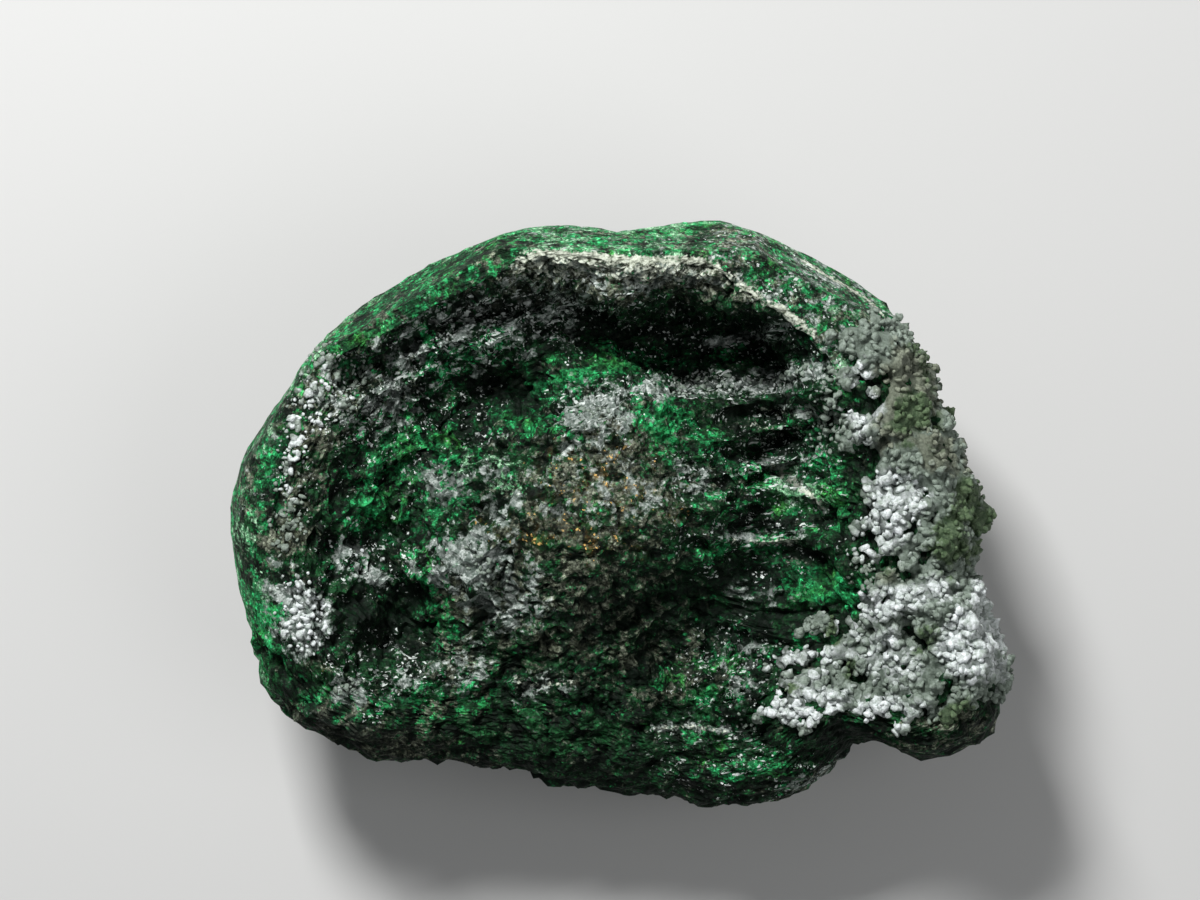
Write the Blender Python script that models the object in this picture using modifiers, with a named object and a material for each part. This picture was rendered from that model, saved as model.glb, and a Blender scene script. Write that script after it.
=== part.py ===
"""A rough uvarovite garnet crystal, broken across, with pale granular matrix clinging to one flank.

Metres, +Z up. The crystal lies on a natural face of its back and its broken face looks up: +X runs to the
matrix, and +Y to the bright natural rim. The shape is worked out in millimetres and written in metres.
"""

from itertools import permutations, product
from math import radians

import bmesh
import bpy
import numpy as np
from mathutils import Matrix, noise

MM = 0.001

# The crystal: two natural forms of garnet about one centre, the flat way of it lying along Z
CENTRE = (0.17, -3.02, 5.40)
FACE_DISTANCE = 9.45
FLATTENING = 0.43

# The fragment's outline seen from above, anticlockwise from the matrix's toe
OUTLINE = [
    (9.45, -4.20), (9.25, -3.30), (8.95, -2.50), (8.90, -1.30), (9.10, 0.20), (8.75, 0.95), (8.45, 1.80),
    (8.15, 2.50), (7.65, 3.65), (6.75, 4.55), (6.50, 5.05), (6.10, 5.40), (4.45, 6.40), (3.10, 6.95),
    (2.45, 7.18), (1.15, 7.05), (0.00, 6.88), (-1.40, 7.05), (-2.40, 6.95), (-3.90, 6.40), (-5.60, 5.50),
    (-6.50, 4.95), (-7.25, 4.20), (-8.00, 3.10), (-8.70, 2.15), (-9.15, 1.45), (-9.45, 0.30), (-9.35, -1.30),
    (-9.00, -2.65), (-8.40, -4.30), (-8.00, -4.65), (-6.85, -5.20), (-5.65, -5.60), (-4.10, -5.95),
    (-2.40, -6.35), (-0.45, -6.70), (1.45, -7.00), (3.30, -7.18), (4.10, -7.05), (4.70, -6.80), (5.25, -6.25),
    (5.85, -5.60), (6.35, -5.55), (6.85, -5.70), (7.30, -5.90), (8.15, -5.95), (8.80, -5.65), (9.20, -5.00),
]

# Where each kind of side begins and ends, as azimuths seen from above
NATURAL_SIDE = (36.0, 200.0)
MATRIX_SIDE = (-31.0, 30.0)
NATURAL_WALL = (60.0, 150.0)
SIDE_FADE = 9.0
MATRIX_THICKNESS = 0.50

# Widest level, crest level, the brow and wall inside the crest, and the rounded shoulders, by azimuth
AZIMUTHS = (-180, -150, -120, -90, -60, -45, -30, 0, 30, 60, 90, 120, 135, 150, 165, 180)
WAIST = (4.9, 4.2, 3.6, 3.3, 3.0, 3.3, 3.9, 4.6, 5.2, 5.4, 5.4, 5.4, 5.4, 5.4, 5.2, 4.9)
CREST = (6.9, 6.2, 5.5, 5.0, 4.9, 5.9, 6.6, 7.0, 7.4, 7.8, 7.8, 7.6, 7.4, 7.2, 7.05, 6.9)
CREST_INSET = (1.2, 1.1, 1.0, 0.9, 0.9, 1.2, 1.8, 2.0, 1.9, 1.5, 0.85, 0.70, 0.95, 0.55, 1.10, 1.2)
BROW_WIDTH = (0, 0, 0, 0, 0, 0, 0, 0, 0, 0.50, 1.00, 0.10, 0, 0, 0, 0)
WALL_WIDTH = (2.2, 2.2, 2.0, 2.2, 2.4, 2.4, 2.8, 2.8, 1.6, 0.55, 0.60, 0.50, 0.45, 0.70, 2.0, 2.2)
SHOULDER = (1.0, 1.6, 1.9, 1.8, 1.5, 1.3, 1.3, 0.9, 0.5, 0.12, 0.12, 0.12, 0.12, 0.20, 0.60, 1.0)
BROW_DROP = 0.60
BROW_START = 0.3
BACK_SHOULDER = 1.6
THINNEST_SHOULDER = 0.12

# How much of the starting ball becomes the broken face, and how finely the ball is divided
FRONT_SHARE = 0.60
BALL_LEVEL = 6

# The broken face: its mean level, and its swells and hollows as x, y, radius x, radius y, turn, rise
FACE_LEVEL = 5.35
SWELLS = {
    "boss": (-0.70, 0.15, 3.30, 2.95, 0, 1.85),
    "boss_brow": (-0.55, 2.15, 1.70, 0.75, 0, 0.35),
    "top_hollow": (1.60, 4.50, 3.90, 1.10, -3, -1.60),
    "top_left_ledge": (-3.10, 4.55, 1.50, 0.60, 12, 0.75),
    "upper_left_shelf": (-5.30, 3.70, 1.90, 1.00, 32, 1.10),
    "eye_pit": (-2.75, 2.95, 1.25, 0.80, -12, -1.00),
    "eye_brow": (-3.30, 3.95, 1.50, 0.40, 25, 0.45),
    "left_bank": (-7.40, 0.80, 1.30, 3.20, 8, 0.95),
    "left_knob": (-5.40, 1.90, 0.95, 1.00, 0, 0.45),
    "left_pit": (-6.10, -0.60, 1.10, 0.75, 0, -0.65),
    "left_saddle": (-4.60, -1.30, 0.90, 0.70, 0, 0.35),
    "low_left_hollow": (-5.30, -2.75, 1.30, 1.05, 0, -0.75),
    "low_left_knob": (-4.60, -4.10, 0.90, 0.55, 0, 0.35),
    "left_patch_rise": (-7.70, -2.40, 1.20, 1.20, 0, 0.50),
    "left_foot": (-7.00, -4.20, 1.30, 0.80, 25, 0.35),
    "low_right_slope": (1.90, -2.60, 2.40, 1.90, 0, -1.05),
    "right_hollow": (4.30, 1.90, 1.50, 1.30, -20, -0.70),
    "right_low_hollow": (4.00, -0.90, 1.80, 1.00, 0, -0.45),
    "matrix_dent": (6.95, -2.90, 0.75, 0.60, 45, -0.55),
    "low_lip": (2.20, -5.60, 2.20, 0.80, -10, -0.35),
}

SWELL_POWER = 1.4
WARP_REACH = 0.35
WARP_SIZE = 1.5

# The broken steps that run across the face: centre, reach, turn, spacing and rise
STEP_FLIGHTS = {
    "right": ((3.90, 0.10), (2.90, 3.60), -5.0, 0.85, 0.60),
    "upper_left": ((-3.60, 4.10), (2.60, 1.60), 10.0, 0.62, 0.28),
    "foot": ((3.60, -5.70), (2.60, 1.40), -14.0, 0.62, 0.28),
}

STEP_WANDER = 0.9
STEP_RISE_SHARE = 0.3

# Roughness: its depth on each kind of surface, the size and share of its coarse and fine bumps, how far in the
# natural rim and the broken heel fade, and the ragged walls
ROUGH_FRACTURE = 0.26
ROUGH_NATURAL = 0.035
COARSE_BUMPS = (1.1, 0.65)
FINE_BUMPS = (0.55, 0.45)
NATURAL_RIM = (0.7, 1.2)
BROKEN_HEEL = (1.0, 3.0)
RAGGED_SIZE = 1.3
RAGGED_WALL = 0.45
RAGGED_NATURAL_WALL = 0.20

# The foot: how much is cut off flat, and the levels between which the roughness fades in above it
FOOT_CUT = 0.02
FOOT_FADE = (0.05, 0.9)

# The pale matrix: the area it covers seen from above, the lowest level that it reaches and its lumps
MATRIX_AREA = [
    (4.50, 4.75), (5.25, 4.00), (5.60, 2.80), (5.35, 2.10), (5.75, 0.85), (5.80, -0.35), (6.20, -1.45),
    (5.60, -2.15), (4.20, -2.45), (4.15, -3.00), (3.45, -3.95), (2.95, -4.95), (4.25, -5.25),
    (5.60, -4.65), (6.45, -5.15), (7.75, -5.30), (8.90, -4.95), (12.00, -4.30), (12.00, 4.20),
    (6.70, 4.60), (5.85, 4.95),
]
MATRIX_LOWEST = 3.3
LUMPS = 1250
LUMP_RADIUS = (0.20, 0.56)
LUMP_TAPER = 1.5
LUMP_SEAT = 0.35
LUMP_SEED = 6
SMALLEST_LUMP = 0.25
LUMP_VOXEL = 0.11
MATRIX_CLEARANCE = 0.14

GARNET_FACES = 6150
MATRIX_FACES = 3700


def collection(name):
    made = bpy.data.collections.new(name)
    bpy.context.scene.collection.children.link(made)
    return made


def material(name, colour, roughness):
    made = bpy.data.materials.new(name)
    made.use_nodes = True
    shader = made.node_tree.nodes["Principled BSDF"]
    shader.inputs["Base Color"].default_value = (*colour, 1.0)
    shader.inputs["Roughness"].default_value = roughness
    shader.inputs["Metallic"].default_value = 0.0
    return made


def crystal_faces():
    """Unit normals of the garnet's rhombs and kites, turned so that one kite looks straight down."""
    indices = set()
    for form in ((1, 1, 0), (2, 1, 1)):
        for order in permutations(form):
            for signs in product((1, -1), repeat=3):
                indices.add(tuple(sign * index for sign, index in zip(signs, order)))
    normals = np.array(sorted(indices), float)
    normals /= np.linalg.norm(normals, axis=1)[:, None]
    across = np.array((0, 1, -1)) / 2 ** 0.5
    along = np.array((-1, 1, 1)) / 3 ** 0.5
    down = np.array((2, 1, 1)) / 6 ** 0.5
    return np.stack([normals @ across, normals @ along, -(normals @ down)], axis=1)


def face_distances(normals):
    """How far each natural face lies from the centre. The crystal is flattened towards its back, and a steep
    face lies no further in than the natural stretch of the outline, which it then touches."""
    distances = FACE_DISTANCE * (1 - FLATTENING * np.clip(-normals[:, 2], 0, 1) ** 2)
    outline = np.array(OUTLINE)
    azimuths = np.degrees(np.arctan2(outline[:, 1], outline[:, 0])) % 360
    natural = outline[(azimuths > NATURAL_SIDE[0]) & (azimuths < NATURAL_SIDE[1])]
    touching = ((natural - CENTRE[:2]) @ normals[:, :2].T).max(axis=0)
    return np.maximum(distances, touching)


def smooth(low, high, value):
    share = np.clip((value - low) / (high - low), 0, 1)
    return share * share * (3 - 2 * share)


def around(azimuth, values):
    return np.interp(azimuth, AZIMUTHS, values)


def side(azimuth, span):
    """1 on the sides between two azimuths, fading to 0 past them."""
    middle, half = (span[0] + span[1]) / 2, (span[1] - span[0]) / 2
    away = np.abs((azimuth - middle + 180) % 360 - 180)
    return 1 - smooth(half - SIDE_FADE, half + SIDE_FADE, away)


def outline_radius(azimuth):
    points = np.array(OUTLINE)
    angles = np.degrees(np.arctan2(points[:, 1], points[:, 0]))
    order = np.argsort(angles)
    radii = np.hypot(points[:, 0], points[:, 1])
    return np.interp(azimuth, angles[order], radii[order], period=360)


def grain(points, size, seed):
    """Smooth noise from -1 to 1 with features of about one size."""
    return np.array([noise.noise(p) for p in (points / size + seed).tolist()])


def swell(x, y, form):
    mid_x, mid_y, radius_x, radius_y, turn, rise = form
    c, s = np.cos(radians(turn)), np.sin(radians(turn))
    along, across = c * (x - mid_x) + s * (y - mid_y), c * (y - mid_y) - s * (x - mid_x)
    return rise * np.exp(-((along / radius_x) ** 2 + (across / radius_y) ** 2) ** SWELL_POWER)


def steps(x, y, wander, swing, flight):
    """Little scarps with a gentle tread behind each. They wander, and die out here and there."""
    centre, radii, turn, spacing, rise = flight
    c, s = np.cos(radians(turn)), np.sin(radians(turn))
    dx, dy = x - centre[0], y - centre[1]
    along, across = c * dx + s * dy, c * dy - s * dx
    reach = (along / radii[0]) ** 2 + (across / radii[1]) ** 2
    phase = (across / spacing + STEP_WANDER * wander) % 1.0
    tread = smooth(0, STEP_RISE_SHARE, phase) * (1 - smooth(STEP_RISE_SHARE, 1.0, phase))
    strength = smooth(-0.35, 0.45, swing)
    return rise * strength * (tread - 0.5) * (1 - smooth(0.4, 1.1, reach))


def broken_face(x, y, azimuth, inset):
    """Height of the broken face: its swells and steps, and the rim that stands round it."""
    flat = np.stack([x, y, np.zeros_like(x)], axis=1)
    warp_x = x + WARP_REACH * grain(flat, WARP_SIZE, 3.0)
    warp_y = y + WARP_REACH * grain(flat, WARP_SIZE, 9.0)
    level = np.full_like(x, FACE_LEVEL)
    for form in SWELLS.values():
        level += swell(warp_x, warp_y, form)
    wander = grain(flat * (0.35, 0.8, 1.0), 1.3, 21.0)
    swing = grain(flat * (0.5, 1.0, 1.0), 1.1, 77.0)
    for flight in STEP_FLIGHTS.values():
        level += steps(x, y, wander, swing, flight)
    crest = around(azimuth, CREST)
    start = around(azimuth, CREST_INSET)
    brow = around(azimuth, BROW_WIDTH)
    reach = RAGGED_WALL + (RAGGED_NATURAL_WALL - RAGGED_WALL) * side(azimuth, NATURAL_WALL)
    ragged = reach * grain(flat, RAGGED_SIZE, 55.0)
    drop = BROW_DROP * smooth(0, 1, (inset - start) / (brow + 0.05)) * smooth(0, BROW_START, brow)
    wall = 1 - smooth(0, 1, (inset + ragged - start - brow) / around(azimuth, WALL_WIDTH))
    return level + (crest - drop - level) * wall


def fragment(directions):
    """Where each direction of a unit ball lands on the fragment's surface, in millimetres."""
    rim = 1 - 2 * FRONT_SHARE
    lift = directions[:, 2]
    front = lift >= rim
    spread = np.sqrt(np.clip(np.where(front, (1 - lift) / (1 - rim), (1 + lift) / (1 + rim)), 0, 1))
    reach = 0.5 * (spread + np.sin(0.5 * np.pi * spread))
    azimuth = np.degrees(np.arctan2(directions[:, 1], directions[:, 0]))
    radius = outline_radius(azimuth) - MATRIX_THICKNESS * side(azimuth, MATRIX_SIDE)
    x = reach * radius * np.cos(np.radians(azimuth))
    y = reach * radius * np.sin(np.radians(azimuth))
    inset = (1 - reach) * radius
    waist = around(azimuth, WAIST)

    normals = crystal_faces()
    distances = face_distances(normals)
    plan = np.stack([x - CENTRE[0], y - CENTRE[1]], axis=1)
    room = distances - plan @ normals[:, :2].T
    upward, downward = normals[:, 2] > 0.1, normals[:, 2] < -0.1
    ceiling = CENTRE[2] + (room[:, upward] / normals[upward, 2]).min(axis=1)
    ground = CENTRE[2] + (room[:, downward] / normals[downward, 2]).max(axis=1)

    top = np.minimum(ceiling, broken_face(x, y, azimuth, inset))
    shoulder = np.clip(inset / around(azimuth, SHOULDER), 0, 1)
    back_width = BACK_SHOULDER * (1 - side(azimuth, NATURAL_SIDE)) + THINNEST_SHOULDER
    heel = np.clip(inset / back_width, 0, 1)
    rounded_top = waist + (top - waist) * np.sqrt(1 - (1 - shoulder) ** 2)
    rounded_back = waist + (ground - waist) * np.sqrt(1 - (1 - heel) ** 2)
    return np.stack([x, y, np.where(front, rounded_top, rounded_back)], axis=1), azimuth, inset, front


def roughen(mesh, points, azimuth, inset, front):
    """Moves the surface along its normals: coarse on the breaks, faint on the natural faces, none on the foot."""
    rim = side(azimuth, NATURAL_SIDE) * (1 - smooth(*NATURAL_RIM, inset))
    back = np.maximum(side(azimuth, NATURAL_SIDE), smooth(*BROKEN_HEEL, inset))
    natural = np.where(front, rim, back)
    depth = ROUGH_FRACTURE * (1 - natural) + ROUGH_NATURAL * natural
    depth *= smooth(*FOOT_FADE, points[:, 2])
    bumps = np.zeros(len(points))
    for seed, (size, share) in ((31.0, COARSE_BUMPS), (47.0, FINE_BUMPS)):
        bumps += share * grain(points, size, seed)
    normals = np.zeros(len(points) * 3)
    mesh.vertices.foreach_get("normal", normals)
    return points + normals.reshape(-1, 3) * (depth * bumps)[:, None]


def write_points(mesh, points):
    mesh.vertices.foreach_set("co", (points * MM).astype(np.float32).ravel())
    mesh.update()


def ball(name, subdivisions):
    mesh = bpy.data.meshes.new(name)
    bm = bmesh.new()
    bmesh.ops.create_icosphere(bm, subdivisions=subdivisions, radius=1.0)
    bm.to_mesh(mesh)
    bm.free()
    return mesh


def thinned(obj, faces):
    """Applies the object's modifiers and a Decimate that leaves about this many triangles."""
    bpy.context.view_layer.update()
    graph = bpy.context.evaluated_depsgraph_get()
    whole = bpy.data.meshes.new_from_object(obj.evaluated_get(graph))
    whole.calc_loop_triangles()
    count = len(whole.loop_triangles)
    obj.modifiers.clear()
    obj.data = whole
    decimate = obj.modifiers.new("thin", "DECIMATE")
    decimate.ratio = min(1.0, faces / count)
    graph = bpy.context.evaluated_depsgraph_get()
    finished = bpy.data.meshes.new_from_object(obj.evaluated_get(graph))
    obj.modifiers.clear()
    obj.data = finished
    return obj


def cut_flat(mesh, point, normal):
    """Cuts off what lies outside a plane and closes the cut with one flat face."""
    bm = bmesh.new()
    bm.from_mesh(mesh)
    everything = bm.verts[:] + bm.edges[:] + bm.faces[:]
    cut = bmesh.ops.bisect_plane(bm, geom=everything, plane_co=point, plane_no=normal, clear_outer=True, dist=1e-7)
    rim = [item for item in cut["geom_cut"] if isinstance(item, bmesh.types.BMEdge)]
    bmesh.ops.holes_fill(bm, edges=rim, sides=0)
    bm.to_mesh(mesh)
    bm.free()


def largest_piece(mesh):
    """Deletes every loose piece of a mesh but the largest."""
    bm = bmesh.new()
    bm.from_mesh(mesh)
    left, pieces = set(bm.verts), []
    while left:
        piece, edge = set(), [left.pop()]
        while edge:
            vert = edge.pop()
            piece.add(vert)
            for link in vert.link_edges:
                other = link.other_vert(vert)
                if other in left:
                    left.remove(other)
                    edge.append(other)
        pieces.append(piece)
    keep = max(pieces, key=len)
    bmesh.ops.delete(bm, geom=[vert for vert in bm.verts if vert not in keep], context="VERTS")
    bm.to_mesh(mesh)
    bm.free()


def inside(x, y, corners):
    """Which points lie inside a closed outline."""
    found = np.zeros(len(x), bool)
    for (x1, y1), (x2, y2) in zip(corners, corners[1:] + corners[:1]):
        crosses = (y1 > y) != (y2 > y)
        with np.errstate(divide="ignore", invalid="ignore"):
            at = x1 + (y - y1) * (x2 - x1) / (y2 - y1)
        found ^= crosses & (x < at)
    return found


def make_garnet(group):
    mesh = ball("garnet_crystal", BALL_LEVEL)
    directions = np.zeros(len(mesh.vertices) * 3)
    mesh.vertices.foreach_get("co", directions)
    points, azimuth, inset, front = fragment(directions.reshape(-1, 3))
    write_points(mesh, points)
    write_points(mesh, roughen(mesh, points, azimuth, inset, front))
    cut_flat(mesh, (0, 0, FOOT_CUT * MM), (0, 0, -1))
    mesh.transform(Matrix.Translation((0, 0, -FOOT_CUT * MM)))
    garnet = bpy.data.objects.new("garnet_crystal", mesh)
    group.objects.link(garnet)
    thinned(garnet, GARNET_FACES)
    garnet.data.materials.clear()
    garnet.data.materials.append(material("garnet green", (0.02, 0.16, 0.06), 0.25))
    return garnet


def edge_distance(x, y, corners):
    """How far each point lies from a closed outline."""
    nearest = np.full(len(x), np.inf)
    points = np.stack([x, y], axis=1)
    for start, end in zip(np.array(corners), np.array(corners[1:] + corners[:1])):
        way = end - start
        share = np.clip((points - start) @ way / (way @ way), 0, 1)
        nearest = np.minimum(nearest, np.linalg.norm(points - start - share[:, None] * way, axis=1))
    return nearest


def scattered(mesh, wanted, count, random):
    """Points spread evenly over the wanted triangles of a mesh, and the surface's normal at each."""
    mesh.calc_loop_triangles()
    corners = np.zeros(len(mesh.loop_triangles) * 3, np.int32)
    mesh.loop_triangles.foreach_get("vertices", corners)
    points = np.zeros(len(mesh.vertices) * 3)
    mesh.vertices.foreach_get("co", points)
    triangles = points.reshape(-1, 3)[corners.reshape(-1, 3)] / MM
    triangles = triangles[wanted(triangles.mean(axis=1))]
    across = np.cross(triangles[:, 1] - triangles[:, 0], triangles[:, 2] - triangles[:, 0])
    doubled_area = np.linalg.norm(across, axis=1)
    picked = random.choice(len(triangles), count, p=doubled_area / doubled_area.sum())
    weights = random.dirichlet((1, 1, 1), count)
    return np.einsum("ij,ijk->ik", weights, triangles[picked]), (across / doubled_area[:, None])[picked]


def in_matrix(points):
    return inside(points[:, 0], points[:, 1], MATRIX_AREA) & (points[:, 2] > MATRIX_LOWEST)


def make_matrix(group, cutter):
    """Lumps set on the garnet's surface, smaller towards the edge, fused into one crust and cut back clear of
    the garnet."""
    ground = ball("ground", BALL_LEVEL)
    directions = np.zeros(len(ground.vertices) * 3)
    ground.vertices.foreach_get("co", directions)
    write_points(ground, fragment(directions.reshape(-1, 3))[0])
    random = np.random.default_rng(LUMP_SEED)
    points, normals = scattered(ground, in_matrix, LUMPS, random)
    bpy.data.meshes.remove(ground)
    within = smooth(0, LUMP_TAPER, edge_distance(points[:, 0], points[:, 1], MATRIX_AREA))
    size = SMALLEST_LUMP + (1 - SMALLEST_LUMP) * random.uniform(0, 1, LUMPS) ** 3
    radii = LUMP_RADIUS[0] + (LUMP_RADIUS[1] - LUMP_RADIUS[0]) * within * size

    bm = bmesh.new()
    for seat, radius in zip(points + normals * (LUMP_SEAT * radii)[:, None], radii):
        place = Matrix.Translation(seat * MM)
        bmesh.ops.create_icosphere(bm, subdivisions=2, radius=radius * MM, matrix=place)
    lumps = bpy.data.meshes.new("lumps")
    bm.to_mesh(lumps)
    bm.free()

    crust = bpy.data.objects.new("matrix_crust", lumps)
    group.objects.link(crust)
    fuse = crust.modifiers.new("fuse", "REMESH")
    fuse.mode = "VOXEL"
    fuse.voxel_size = LUMP_VOXEL * MM
    trim = crust.modifiers.new("trim", "BOOLEAN")
    trim.operation = "DIFFERENCE"
    trim.object = cutter
    mend = crust.modifiers.new("mend", "REMESH")
    mend.mode = "VOXEL"
    mend.voxel_size = LUMP_VOXEL * MM
    thinned(crust, MATRIX_FACES)
    largest_piece(crust.data)
    crust.data.materials.clear()
    crust.data.materials.append(material("matrix white", (0.62, 0.63, 0.64), 0.75))
    return crust


def clearance_of(garnet, cutters):
    """The garnet swollen by the gap that the matrix keeps to it."""
    cutter = bpy.data.objects.new("garnet_clearance", garnet.data.copy())
    cutters.objects.link(cutter)
    cutter.hide_render = True
    cutter.display_type = "WIRE"
    swollen = cutter.modifiers.new("swell", "DISPLACE")
    swollen.strength = MATRIX_CLEARANCE * MM
    swollen.mid_level = 0.0
    return cutter


def main():
    for obj in list(bpy.data.objects):
        bpy.data.objects.remove(obj)
    group = collection("uvarovite_garnet")
    cutters = collection("cutters")
    cutter = clearance_of(make_garnet(group), cutters)
    make_matrix(group, cutter)


main()
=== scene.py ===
"""The looks of a rough uvarovite garnet: a dark green crystal broken across, with pale matrix on one side.

The crystal lies on its back and its broken face looks up, so the camera looks straight down. +X runs to the
matrix and +Y to the bright natural rim. Shapes are worked out in millimetres and written in metres.
"""

from itertools import permutations, product
from math import radians
from types import SimpleNamespace

import bmesh
import bpy
import numpy as np
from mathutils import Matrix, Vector, noise


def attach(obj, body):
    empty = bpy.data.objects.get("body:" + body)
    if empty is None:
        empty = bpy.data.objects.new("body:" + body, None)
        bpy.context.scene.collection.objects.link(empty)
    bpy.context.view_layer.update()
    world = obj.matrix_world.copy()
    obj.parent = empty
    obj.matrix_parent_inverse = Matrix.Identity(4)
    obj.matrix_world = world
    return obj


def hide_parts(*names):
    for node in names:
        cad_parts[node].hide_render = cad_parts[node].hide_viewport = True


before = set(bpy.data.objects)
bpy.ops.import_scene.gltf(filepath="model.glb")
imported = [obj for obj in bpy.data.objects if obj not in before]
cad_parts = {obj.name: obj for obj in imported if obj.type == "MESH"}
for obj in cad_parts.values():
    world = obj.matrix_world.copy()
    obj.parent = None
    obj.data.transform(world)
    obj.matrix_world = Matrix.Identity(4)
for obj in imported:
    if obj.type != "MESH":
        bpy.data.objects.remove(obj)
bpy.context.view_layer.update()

MM = 0.001
BODY = "root"

# The crystal: two natural forms of garnet about one centre, the flat way of it lying along Z
CENTRE = (0.17, -3.02, 5.40)
FACE_DISTANCE = 9.45
FLATTENING = 0.43

# The fragment's outline seen from above, anticlockwise from the matrix's toe
OUTLINE = [
    (9.45, -4.20), (9.25, -3.30), (8.95, -2.50), (8.90, -1.30), (9.10, 0.20), (8.75, 0.95), (8.45, 1.80),
    (8.15, 2.50), (7.65, 3.65), (6.75, 4.55), (6.50, 5.05), (6.10, 5.40), (4.45, 6.40), (3.10, 6.95),
    (2.45, 7.18), (1.15, 7.05), (0.00, 6.88), (-1.40, 7.05), (-2.40, 6.95), (-3.90, 6.40), (-5.60, 5.50),
    (-6.50, 4.95), (-7.25, 4.20), (-8.00, 3.10), (-8.70, 2.15), (-9.15, 1.45), (-9.45, 0.30), (-9.35, -1.30),
    (-9.02, -2.70), (-8.60, -4.20), (-8.12, -4.98), (-7.10, -5.55), (-5.75, -5.88), (-4.10, -6.10),
    (-2.40, -6.35), (-0.45, -6.70), (1.45, -7.00), (3.30, -7.18), (4.10, -7.05), (4.70, -6.80), (5.25, -6.25),
    (5.85, -5.60), (6.35, -5.55), (6.85, -5.70), (7.30, -5.90), (8.15, -5.95), (8.80, -5.65), (9.20, -5.00),
]

# Where each kind of side begins and ends, as azimuths seen from above
NATURAL_SIDE = (36.0, 200.0)
MATRIX_SIDE = (-17.0, 30.0)
SIDE_FADE = 9.0
MATRIX_THICKNESS = 0.50

# Widest level, crest level, the brow and wall inside the crest, and the rounded shoulders, by azimuth
AZIMUTHS = (-180, -150, -120, -90, -60, -45, -30, 0, 30, 60, 90, 120, 135, 150, 165, 180)
WAIST = (4.9, 4.2, 3.6, 3.3, 3.0, 3.3, 3.9, 4.6, 5.2, 5.4, 5.4, 5.4, 5.4, 5.4, 5.2, 4.9)
CREST = (6.9, 6.2, 5.5, 5.0, 4.9, 5.9, 6.6, 7.0, 7.4, 7.8, 7.8, 7.6, 7.4, 7.2, 7.05, 6.9)
BROW_WIDTH = (0, 0, 0, 0, 0, 0, 0, 0, 0, 0.50, 1.00, 0.10, 0, 0, 0, 0)
WALL_WIDTH = (2.2, 2.2, 2.0, 2.2, 2.4, 2.4, 2.8, 2.8, 1.6, 0.55, 0.60, 0.50, 0.45, 0.70, 2.0, 2.2)
SHOULDER = (1.0, 1.6, 1.9, 1.8, 1.5, 1.3, 1.3, 0.9, 0.5, 0.12, 0.12, 0.12, 0.12, 0.20, 0.60, 1.0)
BROW_DROP = 0.60
BACK_SHOULDER = 1.6
LEAST_SHOULDER = 0.12
LOW_EDGE = (205, 345)

# How far inside the outline the crest runs, as azimuth and inset
CREST_LINE = (
    (-180, 1.20), (-150, 1.10), (-120, 1.00), (-90, 0.90), (-60, 0.90), (-45, 1.20), (-30, 1.80), (0, 2.00),
    (33, 2.00), (39, 1.94), (45, 1.72), (60, 1.52), (66, 1.31), (77, 1.06), (90, 0.77), (100, 0.84),
    (106, 0.75),
    (111, 0.77), (115, 0.90), (126, 1.07), (138, 1.04), (145, 0.98), (149, 0.75), (152, 0.55), (158, 0.90),
    (165, 1.05), (180, 1.20),
)

# The broken face: its mean level, and its swells and hollows as x, y, radius x, radius y, turn, rise
FACE_LEVEL = 5.35
SWELLS = {
    "boss": (-0.70, 0.15, 3.30, 2.95, 0, 1.85),
    "boss_brow": (-0.55, 2.15, 1.70, 0.75, 0, 0.35),
    "top_hollow": (1.60, 4.50, 3.90, 1.10, -3, -1.60),
    "top_left_ledge": (-3.10, 4.55, 1.50, 0.60, 12, 0.75),
    "upper_left_shelf": (-5.30, 3.70, 1.90, 1.00, 32, 1.10),
    "eye_pit": (-2.75, 2.95, 1.25, 0.80, -12, -1.00),
    "eye_brow": (-3.30, 3.95, 1.50, 0.40, 25, 0.45),
    "left_bank": (-7.40, 0.80, 1.30, 3.20, 8, 0.95),
    "left_knob": (-5.40, 1.90, 0.95, 1.00, 0, 0.45),
    "left_pit": (-6.10, -0.60, 1.10, 0.75, 0, -0.65),
    "left_saddle": (-4.60, -1.30, 0.90, 0.70, 0, 0.35),
    "low_left_hollow": (-5.30, -2.75, 1.30, 1.05, 0, -0.75),
    "low_left_knob": (-4.60, -4.10, 0.90, 0.55, 0, 0.35),
    "left_patch_rise": (-7.70, -2.40, 1.20, 1.20, 0, 0.50),
    "left_foot": (-7.00, -4.20, 1.30, 0.80, 25, 0.35),
    "low_right_slope": (1.90, -2.60, 2.40, 1.90, 0, -1.05),
    "right_hollow": (4.30, 1.90, 1.50, 1.30, -20, -0.70),
    "right_low_hollow": (4.00, -0.90, 1.80, 1.00, 0, -0.45),
    "matrix_dent": (6.95, -2.90, 0.75, 0.60, 45, -0.55),
    "low_lip": (2.20, -5.60, 2.20, 0.80, -10, -0.35),
}

# The broken steps that run across the face: centre, reach, turn, spacing and rise
STEP_FLIGHTS = {
    "right": ((3.90, 0.10), (2.90, 3.60), -5.0, 0.85, 0.60),
    "upper_left": ((-3.60, 4.10), (2.60, 1.60), 10.0, 0.62, 0.28),
    "foot": ((3.60, -5.70), (2.60, 1.40), -14.0, 0.62, 0.28),
}

# Steps too fine for the solids
FINE_FLIGHTS = {
    "right_fine": ((3.70, -0.20), (2.90, 3.60), -4.0, 0.30, 0.15),
    "hollow_fine": ((0.00, 4.60), (5.00, 1.30), 14.0, 0.26, 0.12),
    "left_fine": ((-4.60, 1.00), (2.20, 3.60), 24.0, 0.34, 0.10),
    "foot_fine": ((2.60, -5.60), (3.60, 1.60), -14.0, 0.24, 0.12),
}

# How deep the roughness of the break and of the natural faces is
ROUGH_FRACTURE = 0.20
ROUGH_NATURAL = 0.020

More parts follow.
